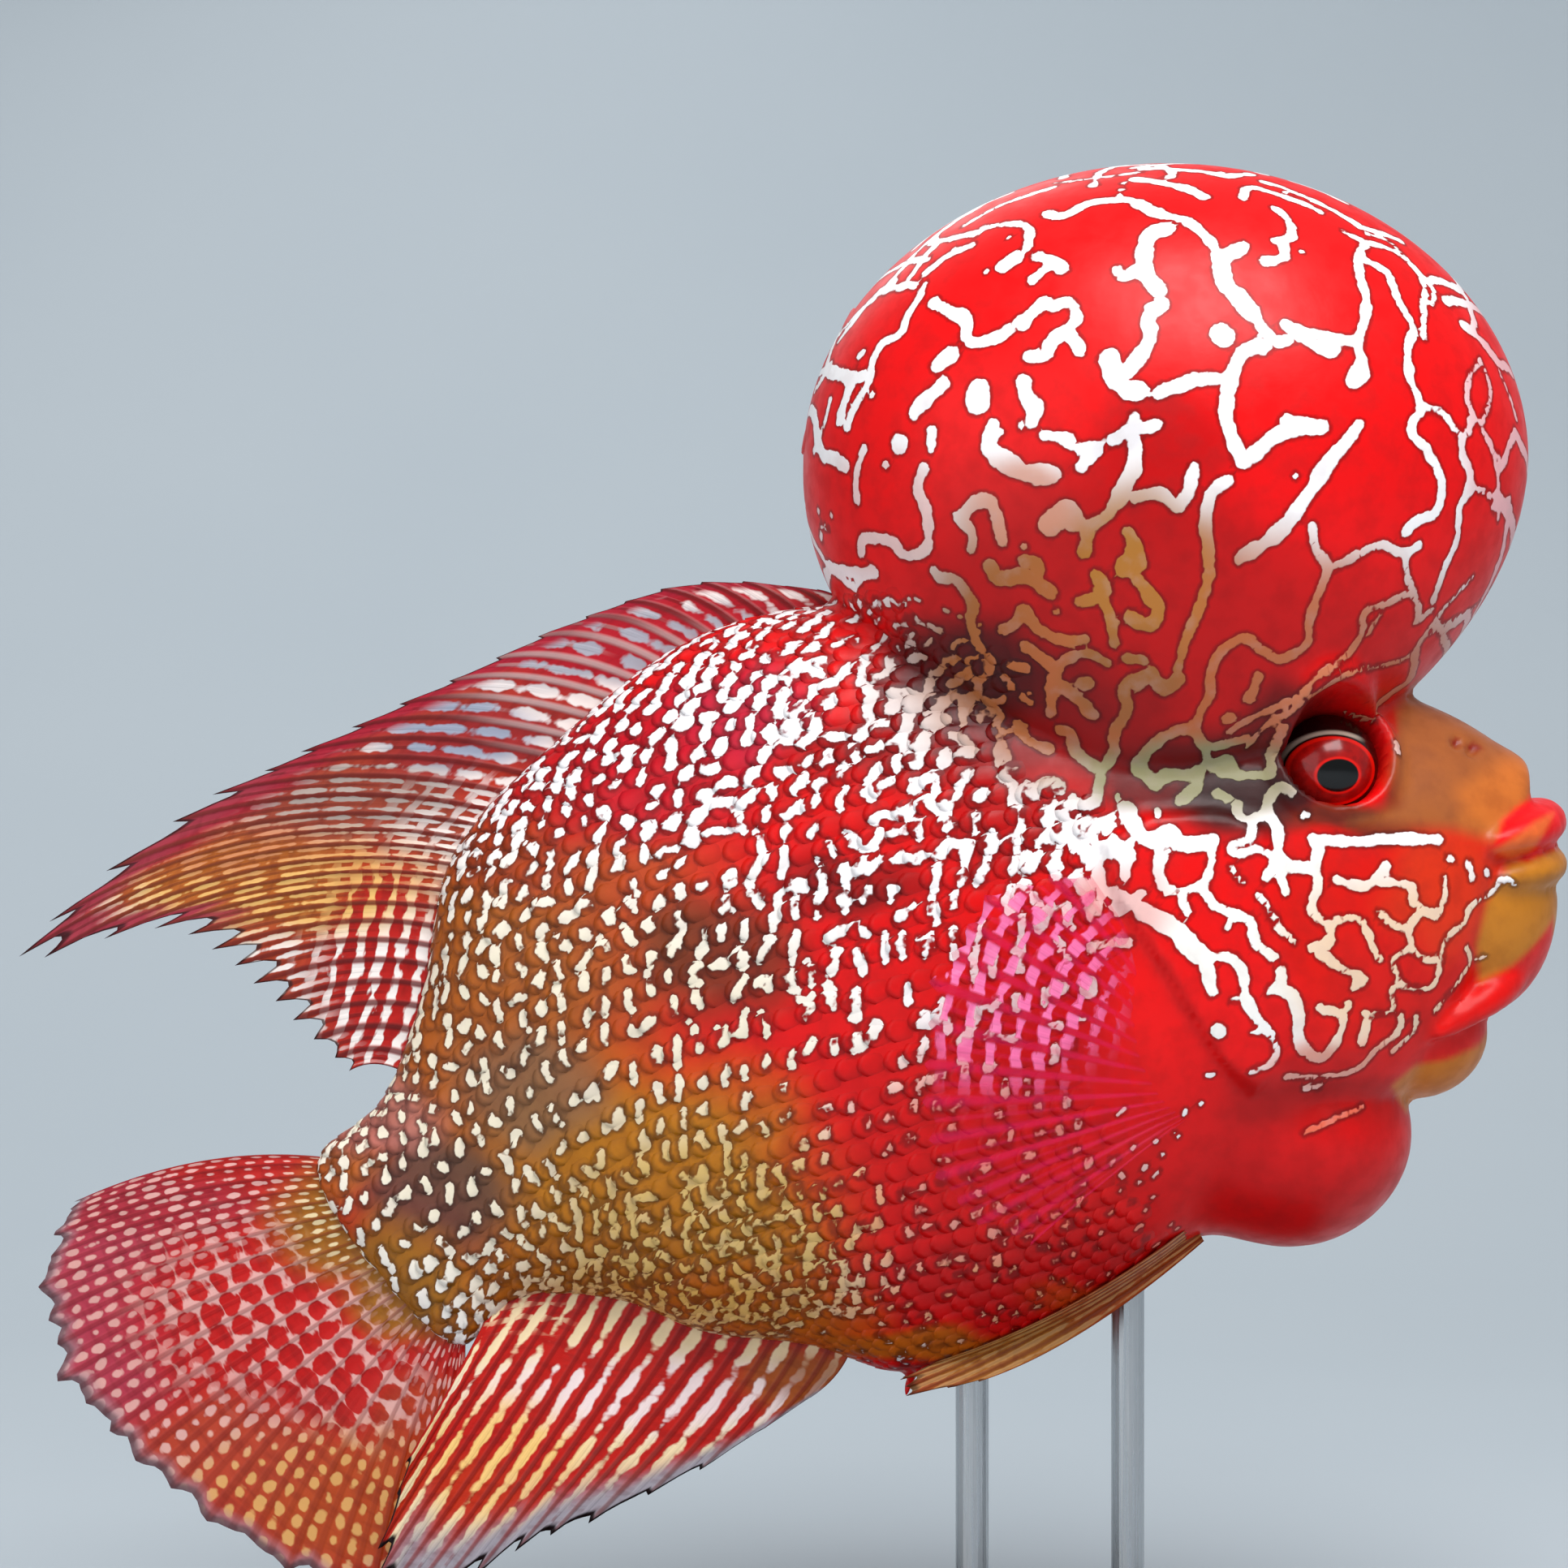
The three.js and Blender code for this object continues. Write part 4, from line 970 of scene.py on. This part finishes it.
def finMaterial(name, pattern, clear=None):  # lengths in millimetres, widths in shares of the gap between rays
    material, tree, shader = newMaterial(name, Roughness=0.38, Specular_IOR_Level=0.25)
    place = attribute(tree, "ray", "Vector")
    ray, share, out = put(tree, "ShaderNodeSeparateXYZ", {0: place}).outputs
    jitter, blotch = grain(tree, 1.1, 2.0, place), grain(tree, 520.0, 2.0)

    def times(a, b):
        return calc(tree, "MULTIPLY", a, b)

    def offLine(value):  # 0 on a whole number, 0.5 midway
        part = calc(tree, "FRACT", calc(tree, "ADD", value, 0.5))
        return calc(tree, "ABSOLUTE", calc(tree, "SUBTRACT", part, 0.5))

    def wave(every, loose, shift=0.0):  # 0 in the middle of each step along the ray, 1 at its ends
        steps = calc(tree, "ADD", calc(tree, "DIVIDE", out, every), shift)
        part = calc(tree, "FRACT", calc(tree, "MULTIPLY_ADD", jitter, loose, steps))
        return times(calc(tree, "ABSOLUTE", calc(tree, "SUBTRACT", part, 0.5)), 2.0)

    def spot(across, along, uneven):
        away = calc(tree, "SQRT", calc(tree, "ADD", times(across, across), times(along, along)))
        return calc(tree, "MULTIPLY_ADD", calc(tree, "SUBTRACT", blotch, 0.5), uneven, away)

    offRay = offLine(ray)
    twig = times(ramped(tree, offLine(times(ray, 2.0)), 0.08, 0.24, 0.7, 0.0), ramped(tree, share, 0.3, 0.6))
    onRay = calc(tree, "MAXIMUM", ramped(tree, offRay, 0.04, pattern["rayWide"], 1.0, 0.0), twig)

    # The three kinds of pale marks: a net, bands across the rays, and dashes between them
    middle = calc(tree, "MULTIPLY_ADD", offRay, -2.0, 1.0)
    net = ramped(tree, spot(middle, wave(pattern["net"], 0.8), 0.9), 0.82, 1.05)
    net = times(net, attribute(tree, "netStrength"))
    band, wide = calc(tree, "MULTIPLY_ADD", blotch, 0.9, wave(pattern["band"], 0.7)), pattern["bandWide"]
    band = times(ramped(tree, band, wide + 0.45, wide + 0.65, 1.0, 0.0), attribute(tree, "bandStrength"))
    band = times(band, ramped(tree, offRay, 0.08, 0.24, 0.1, 1.0))
    cell = times(ray, calc(tree, "ADD", calc(tree, "GREATER_THAN", ray, pattern["splitFrom"]), 1.0))
    each = {"W": calc(tree, "FLOOR", cell)}
    shift = put(tree, "ShaderNodeTexWhiteNoise", each, noise_dimensions="1D").outputs["Value"]
    across = times(calc(tree, "MULTIPLY_ADD", offLine(cell), -2.0, 1.0), pattern["dashSlim"])
    dash = spot(across, times(wave(pattern["dash"], 0.6, shift), pattern["dashShort"]), 1.5)
    dash = times(ramped(tree, dash, 0.45, 0.75, 1.0, 0.0), attribute(tree, "dashStrength"))
    marks = calc(tree, "MAXIMUM", band, dash)

    pale, cloudy = attribute(tree, "paleTone", "Color"), ramped(tree, jitter, 0.4, 0.7, 0.0, 0.3)
    tone = blendColours(tree, cloudy, attribute(tree, "tone", "Color"), rgb("8a1410"), "MULTIPLY")
    tone = blendColours(tree, net, tone, pale)
    rayShown = times(onRay, attribute(tree, "rayStrength"))
    tone = blendColours(tree, rayShown, tone, attribute(tree, "rayTone", "Color"))
    tone = blendColours(tree, marks, tone, pale)
    edge = times(attribute(tree, "edgeStrength"), ramped(tree, share, 0.965, 0.985))
    tree.links.new(blendColours(tree, edge, tone, rgb("180608")), shader.inputs["Base Color"])
    if clear:
        shown = calc(tree, "MAXIMUM", times(onRay, clear["ray"]), times(marks, clear["mark"]))
        tree.links.new(calc(tree, "MAXIMUM", shown, clear["web"]), shader.inputs["Alpha"])
    bumped(tree, shader, calc(tree, "MULTIPLY_ADD", jitter, 0.4, onRay), 0.3, 0.0003)
    return material


finDefaults = {
    "tone": ("b8241c", []), "rayTone": ("6a0c0c", []), "paleTone": ("f6d8cc", []), "rayStrength": (0.6, []),
    "bandStrength": (0.0, []), "netStrength": (0.0, []), "dashStrength": (0.0, []), "edgeStrength": (0.8, []),
}


def dressFin(piece, look):  # margins are (colour, from and to share of the ray, from and to ray)
    points = readPoints(piece.data)
    x, y = asPhoto(points)
    wobble = wobbleOf(points, 5.0, 14)
    place = np.empty(len(points) * 3)
    piece.data.attributes["ray"].data.foreach_get("vector", place)
    ray, share, _out = place.reshape(-1, 3).T
    for name, default in finDefaults.items():
        first, spots = look.get(name, default)
        values = dabbed(rgb(first) if isinstance(first, str) else first, spots, x, y, wobble)
        margins = look.get("margin", []) if name in ("tone", "paleTone") else []
        for colour, low, high, rayFrom, rayTo in margins:
            weight = smooth(low, high, share) * smooth(rayFrom - 1, rayFrom + 1, ray)
            weight = weight * (1 - smooth(rayTo - 1, rayTo + 1, ray))
            values += (np.array(rgb(colour)) - values) * weight[:, None]
        addAttribute(piece.data, name, values[:, 0] if values.shape[1] == 1 else values)


dorsal = {
    "guides": [(*rootOn("back", s, 2.5), *free) for s, *free in (
        (7.0, -9, 116, -12, 116.4), (6.5, -20, 116.4, -24, 117.2), (6.0, -31, 114.6, -36, 113.6),
        (5.5, -42, 109, -50, 107), (5.0, -53, 103, -65, 99.8), (4.5, -61, 97.8, -79, 92.4),
        (4.15, -72, 94, -95.6, 78.1), (3.85, -63, 87.6, -80.6, 81.4), (3.45, -60, 82, -72.6, 77.4),
        (3.0, -58.5, 75, -66.4, 71.8), (2.4, -57.4, 68.4, -60.4, 66.6))],
    "rays": 31, "rows": 28, "scallop": (0.03, 0.16), "stepped": (0.09, 0.0), "lean": 0,
    "pattern": {
        "rayWide": 0.2, "net": 2.4, "band": 2.3, "bandWide": 0.3, "splitFrom": 14.0, "dash": 4.6,
        "dashSlim": 1.35, "dashShort": 0.72,
    },
    "look": {
        "tone": ("b03c1c", [
            (850, 790, 330, 90, "b00c20", 1.0), (620, 930, 190, 80, "9c2024", 0.9),
            (420, 1010, 190, 70, "98402c", 0.9), (320, 1090, 230, 60, "b4601c", 0.95),
            (470, 1200, 90, 170, "b80c08", 0.95), (620, 980, 70, 50, "b82c14", 0.9),
            (30, 1170, 40, 30, "401418", 1.0)]),
        "margin": [("a8142c", 0.66, 0.86, -3, 17), ("a43040", 0.8, 0.92, 13, 22)],
        "rayTone": ("5c0a0a", [(300, 1080, 240, 90, "6a2410", 0.9), (760, 850, 200, 90, "f4dcd8", 0.5)]),
        "paleTone": ("f8ece6", [
            (700, 790, 400, 55, "9aa2b0", 0.9), (560, 900, 110, 50, "8c9cb4", 0.9),
            (420, 980, 160, 60, "a8988e", 0.9), (330, 1090, 240, 75, "eeb860", 0.95),
            (240, 1040, 200, 40, "d07a58", 0.8)]),
        "dashStrength": (0.9, [(470, 1200, 90, 150, 0.0, 1.0), (30, 1160, 80, 50, 0.0, 1.0)]),
        "bandStrength": (0.0, [(470, 1200, 100, 170, 1.0, 1.0), (560, 1010, 90, 70, 0.7, 1.0)]),
        "rayStrength": (0.75, [(470, 1200, 100, 170, 0.9, 1.0)]),
    },
}
anal = {
    "guides": [(*rootOn("belly", s, 2.5), *free) for s, *free in (
        (5.5, -9, 35.6, -12.6, 33.2), (5.0, -18, 32, -26, 24.6), (4.4, -27, 31, -38.4, 19.2),
        (3.7, -35, 30, -47, 15.2), (3.1, -42, 29, -56, 11.2), (2.6, -47, 33, -57, 17),
        (2.0, -48, 37, -54, 27))],
    "rays": 15, "rows": 26, "scallop": (0.035, 0.06), "stepped": (0.05, 0.02), "lean": -3.6,
    "pattern": {
        "rayWide": 0.16, "net": 2.4, "band": 1.9, "bandWide": 0.25, "splitFrom": 99.0, "dash": 8.5,
        "dashSlim": 1.5, "dashShort": 0.62,
    },
    "look": {
        "tone": ("c8160a", [(990, 1700, 90, 45, "b0561a", 0.95), (560, 1860, 110, 70, "c8300c", 0.8)]),
        "margin": [("a49ca6", 0.74, 0.92, -3, 11)],
        "rayTone": ("7c0c08", [(860, 1830, 260, 60, "6a4038", 0.7)]),
        "paleTone": ("ffe2b4", [
            (800, 1720, 260, 50, "ffe6e8", 0.9), (620, 1800, 110, 90, "ffc868", 0.8),
            (800, 1840, 200, 40, "e8b890", 0.7)]),
        "dashStrength": (1.0, [(1010, 1700, 60, 40, 0.3, 1.0)]),
        "bandStrength": (0.0, [(640, 1620, 70, 24, 0.8, 1.0)]),
        "edgeStrength": (1.0, []),
    },
}


def caudalRoot(w):
    backX, backZ, bellyX, bellyZ, _half = between(stations, 1.18)[0]
    return backX + (bellyX - backX) * w, backZ + (bellyZ - backZ) * w


caudal = {
    "guides": [(*caudalRoot(w), *free) for w, *free in (
        (0.03, -76, 59, -89.3, 52.8), (0.2, -77, 53, -92.7, 45.9), (0.4, -75, 45, -91, 35.4),
        (0.6, -70, 37, -82.7, 26), (0.78, -63, 31, -69.6, 16.6), (0.92, -54.0, 27, -56.0, 11),
        (0.98, -48.6, 31, -47.4, 19))],
    "rays": 21, "rows": 32, "scallop": (0.025, 0.025), "lean": 1.6,
    "pattern": {
        "rayWide": 0.13, "net": 2.5, "band": 2.2, "bandWide": 0.2, "splitFrom": -9.0, "dash": 2.1,
        "dashSlim": 1.25, "dashShort": 1.0,
    },
    "look": {
        "tone": ("c01c18", [
            (110, 1600, 110, 200, "b83a50", 0.9), (330, 1620, 190, 120, "c80c0a", 0.9),
            (170, 1490, 160, 40, "ac2434", 0.8), (440, 1860, 170, 90, "bc4a1c", 0.95),
            (270, 1800, 130, 70, "bc4428", 0.85), (440, 1510, 120, 80, "a06414", 0.95),
            (500, 1600, 80, 60, "a06a18", 0.9), (520, 1760, 70, 70, "b8401c", 0.8)]),
        "margin": [("b08890", 0.93, 1.0, -3, 24)],
        "rayTone": ("740c10", [(440, 1860, 200, 110, "8a2c10", 0.9)]),
        "paleTone": ("f2c0b8", [
            (110, 1600, 110, 220, "ecb4a8", 0.8), (400, 1860, 220, 100, "ecb860", 0.9),
            (440, 1500, 110, 80, "f0dca8", 0.9)]),
        "netStrength": (0.0, [
            (320, 1620, 170, 120, 0.75, 1.0), (440, 1720, 90, 70, 0.75, 1.0), (430, 1500, 90, 80, 0.0, 1.0)]),
        "dashStrength": (0.75, [
            (340, 1630, 170, 120, 0.0, 1.0), (440, 1720, 90, 60, 0.0, 1.0), (440, 1500, 90, 70, 0.9, 1.0)]),
        "rayStrength": (0.45, []), "edgeStrength": (0.45, []),
    },
}
pectoral = {
    "guides": [
        (1.5, 3.4, -1.5, 12, -6.5, 20.6), (1.5, 2.4, -8.5, 12.5, -17.5, 19.8),
        (1.5, 1.0, -12.5, 7, -24.4, 12), (1.5, -0.8, -13, -0.5, -26.2, 0), (1.5, -2.4, -12, -6, -23.4, -11),
        (1.5, -3.6, -7, -8, -15, -15.6)],
    "place": (23.4, 15.6, 66.8), "splay": 17, "cup": -1.4, "rays": 17, "rows": 20,
    "clear": {"web": 0.07, "ray": 0.2, "mark": 0.75},
    "pattern": {
        "rayWide": 0.3, "net": 2.4, "band": 2.6, "bandWide": 0.3, "splitFrom": 99.0, "dash": 3.0,
        "dashSlim": 1.0, "dashShort": 0.7,
    },
    "look": {
        "tone": ("e00c1c", []), "rayTone": ("f4206a", []), "paleTone": ("ff7cb4", []),
        "rayStrength": (0.8, []),
        "bandStrength": (0.0, [(1235, 1190, 150, 150, 1.0, 1.0)]),
        "edgeStrength": (0.0, []),
    },
}
pelvic = {
    "guides": [
        (4.0, 6.0, -10, -4.2, -21.5, -8.0), (4.3, 5.2, -10.5, -5.2, -26.1, -10.2),
        (4.5, 4.4, -10.5, -6.2, -25.1, -11.7), (4.9, 3.6, -8, -7.6, -18.5, -10.6)],
    "place": (22.5, 4.6, 46.2), "splay": 5, "cup": 0.4, "rays": 7, "rows": 24, "hug": (-0.8, 0.75),
    "pattern": {
        "rayWide": 0.3, "net": 2.4, "band": 2.6, "bandWide": 0.2, "splitFrom": 99.0, "dash": 9.0,
        "dashSlim": 1.4, "dashShort": 0.5,
    },
    "look": {
        "tone": ("b4501a", [(1240, 1660, 130, 50, "b87426", 0.8)]),
        "rayTone": ("742410", []), "paleTone": ("e4b274", []), "dashStrength": (0.45, []),
        "edgeStrength": (0.6, []),
    },
}


def middleFin(name, node, fin):
    bm = finForm(fin, finSheet["middle"], lambda u, v: fin["lean"] * u * v)
    movePoints(bm, swung)
    piece = addObject(name, bm, finMaterial(name, fin["pattern"]))
    dressFin(piece, fin["look"])
    finishPiece(piece, "fin", node)


def hugged(bm, points, side, gaps):  # folded against the belly: sunk at the root, then just off the skin
    layer, moved, count = bm.verts.layers.float_vector["ray"], points.copy(), len(points) // 2
    bm.verts.ensure_lookup_table()
    for k, p in enumerate((points[:count] + points[count:]) / 2):
        hit = surface.ray_cast(Vector((p[0], side * 60, p[2])), Vector((0, -side, 0)))[0]
        if hit is not None:
            over = gaps[0] + (gaps[1] - gaps[0]) * smooth(0, 0.14, bm.verts[k][layer].y)
            moved[[k, k + count], 1] += side * max(0, side * (hit.y - p[1]) + over)
    return moved


def pairedFin(name, node, fin, side, material, slot):
    bm = finForm(fin, finSheet["paired"], lambda u, v: -side * fin["cup"] * np.sin(math.pi * v))
    turn = math.radians(-side * fin["splay"])
    cos, sin = math.cos(turn), math.sin(turn)
    placeX, placeY, placeZ = fin["place"]
    movePoints(bm, lambda p: swung(np.stack([
        p[:, 0] * cos - p[:, 1] * sin + placeX, p[:, 0] * sin + p[:, 1] * cos + side * placeY,
        p[:, 2] + placeZ], 1)))
    if "hug" in fin:
        movePoints(bm, lambda p: hugged(bm, p, side, fin["hug"]))
    piece = addObject(name, bm, material)
    dressFin(piece, fin["look"])
    finishPiece(piece, slot, node)


middleFin("dorsalFin", "dorsal_fin", dorsal)
middleFin("analFin", "anal_fin", anal)
middleFin("caudalFin", "caudal_fin", caudal)
pectoralMaterial = finMaterial("pectoralFin", pectoral["pattern"], clear=pectoral["clear"])
pelvicMaterial = finMaterial("pelvicFin", pelvic["pattern"])
for side, label in ((1, "left"), (-1, "right")):
    pairedFin("pectoralFin" + label.title(), "pectoral_fin_" + label, pectoral, side, pectoralMaterial, "fin")
    pairedFin("pelvicFin" + label.title(), "pelvic_fin_" + label, pelvic, side, pelvicMaterial, "belly_fin")
print("fins finished")

# Eyes: a dark ball with a red iris, a brighter ring round it, a pale arc over it and a black pupil. The dark
# above the iris is partly the ball's own colour and partly painted shade under the lid; the pale arc is a
# painted highlight
eyeLook = {
    "forward": 0.05, "tilt": -0.09, "irisWide": 4.5, "irisTall": 3.45, "irisSoft": 4, "pupilWide": 2.15,
    "pupilTall": 1.68, "pupilAhead": 0.45, "pupilDown": 0.36, "pupilSoft": 1.9, "within": 0.05, "behind": 9.0,
    "irisTone": "8c0605", "cloudTone": "aa0a06", "ringTone": "e81408", "pupilTone": "010101",
    "darkBallAndLidShade": "1a0504", "paintedHighlightArc": "c0ae9c",
}


def makeEyeMaterial():
    material, tree, shader = newMaterial(
        "eye", Roughness=0.2, Specular_IOR_Level=0.35, Coat_Weight=0.15, Coat_Roughness=0.08)
    pupil, radial, lid = (attribute(tree, name) for name in ("pupil", "radial", "lid"))
    cloud = ramped(tree, grain(tree, 900.0, 3.0), 0.35, 0.7)
    iris = blendColours(tree, cloud, rgb(eyeLook["irisTone"]), rgb(eyeLook["cloudTone"]))
    tone = blendColours(tree, ramped(tree, pupil, 0.12, 0.4), rgb(eyeLook["ringTone"]), iris)
    tone = blendColours(tree, ramped(tree, pupil, -0.08, 0.08), rgb(eyeLook["pupilTone"]), tone)
    tone = blendColours(tree, ramped(tree, radial, -0.4, -0.15), tone, rgb(eyeLook["ringTone"]))
    # outside the iris the ball is dark: partly its own dark colour, partly painted shade under the skin fold
    # over the eye
    tone = blendColours(tree, ramped(tree, radial, 0.0, 0.15), tone, rgb(eyeLook["darkBallAndLidShade"]))
    # painted highlight: a pale arc just outside the iris, over its top
    paintedHighlightArc = calc(tree, "MULTIPLY", ramped(tree, radial, 0.2, 0.4), ramped(tree, radial, 0.55, 0.85, 1.0, 0.0))
    paintedHighlightArc = calc(tree, "MULTIPLY", paintedHighlightArc, ramped(tree, lid, 1.6, 3.0))
    tone = blendColours(tree, paintedHighlightArc, tone, rgb(eyeLook["paintedHighlightArc"]))
    tree.links.new(tone, shader.inputs["Base Color"])
    return material


def makeEye(name, node, side, material):
    bm = bmesh.new()
    radial, pupil, lid = (bm.verts.layers.float.new(layer) for layer in ("radial", "pupil", "lid"))
    look = eyeLook
    gaze = Vector(gazeOf(side, look["forward"], look["tilt"]))
    ahead = (Vector((1, 0, 0)) - gaze * gaze.x).normalized()
    above = ahead.cross(gaze) * side
    made = bmesh.ops.create_uvsphere(bm, u_segments=72, v_segments=64, radius=1)["verts"]
    centre = Vector((eye["x"], side * eye["y"], eye["z"]))
    for v in made:
        x, y, z = v.co
        wide, tall = eye["radius"] * x, eye["radius"] * y
        offIris = math.hypot(wide / look["irisWide"], tall / look["irisTall"]) - 1
        pupilX = (wide - look["pupilAhead"]) / look["pupilWide"]
        pupilY = (tall + look["pupilDown"]) / look["pupilTall"]
        offPupil = math.hypot(pupilX, pupilY) - 1
        v[radial] = offIris * look["irisSoft"] if z > 0 else look["behind"]
        v[pupil] = offPupil * look["pupilSoft"] if z > 0 else look["behind"]
        v[lid] = tall - 0.3 * wide
        v.co = centre + (gaze * z + ahead * x + above * y) * (eye["radius"] - look["within"])
    bmesh.ops.recalc_face_normals(bm, faces=bm.faces)
    piece = addObject(name, bm, material)
    finishPiece(piece, "eye", node)


eyeMaterial = makeEyeMaterial()
makeEye("eyeLeft", "eye_left", 1, eyeMaterial)
makeEye("eyeRight", "eye_right", -1, eyeMaterial)
print("eyes finished")


# Stand: satin dark paint on the base, brushed steel rods
def makeStandMaterials():
    paint, tree, shader = newMaterial("standPaint", Roughness=0.45)
    speck = grain(tree, 300.0, 4.0)
    tree.links.new(blendColours(tree, speck, rgb("1c1d20"), rgb("2c2d31")), shader.inputs["Base Color"])
    tree.links.new(ramped(tree, speck, 0.3, 0.7, 0.38, 0.55), shader.inputs["Roughness"])
    bumped(tree, shader, speck, 0.12, 0.0002)
    steel, tree, shader = newMaterial("standSteel", Metallic=1.0, Roughness=0.3)
    place = put(tree, "ShaderNodeTexCoord").outputs["Object"]
    drawn = put(tree, "ShaderNodeMapping", {"Vector": place, "Scale": (1, 1, 0.02)}).outputs[0]
    lines = grain(tree, 4000.0, 2.0, drawn)
    tree.links.new(blendColours(tree, lines, rgb("a8abaf"), rgb("d2d4d6")), shader.inputs["Base Color"])
    tree.links.new(ramped(tree, lines, 0.3, 0.7, 0.22, 0.42), shader.inputs["Roughness"])
    return {"stand_base": paint, "stand_rod_front": steel, "stand_rod_rear": steel}


for node, material in makeStandMaterials().items():
    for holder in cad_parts[node].material_slots:
        holder.material = material
print("stand finished")
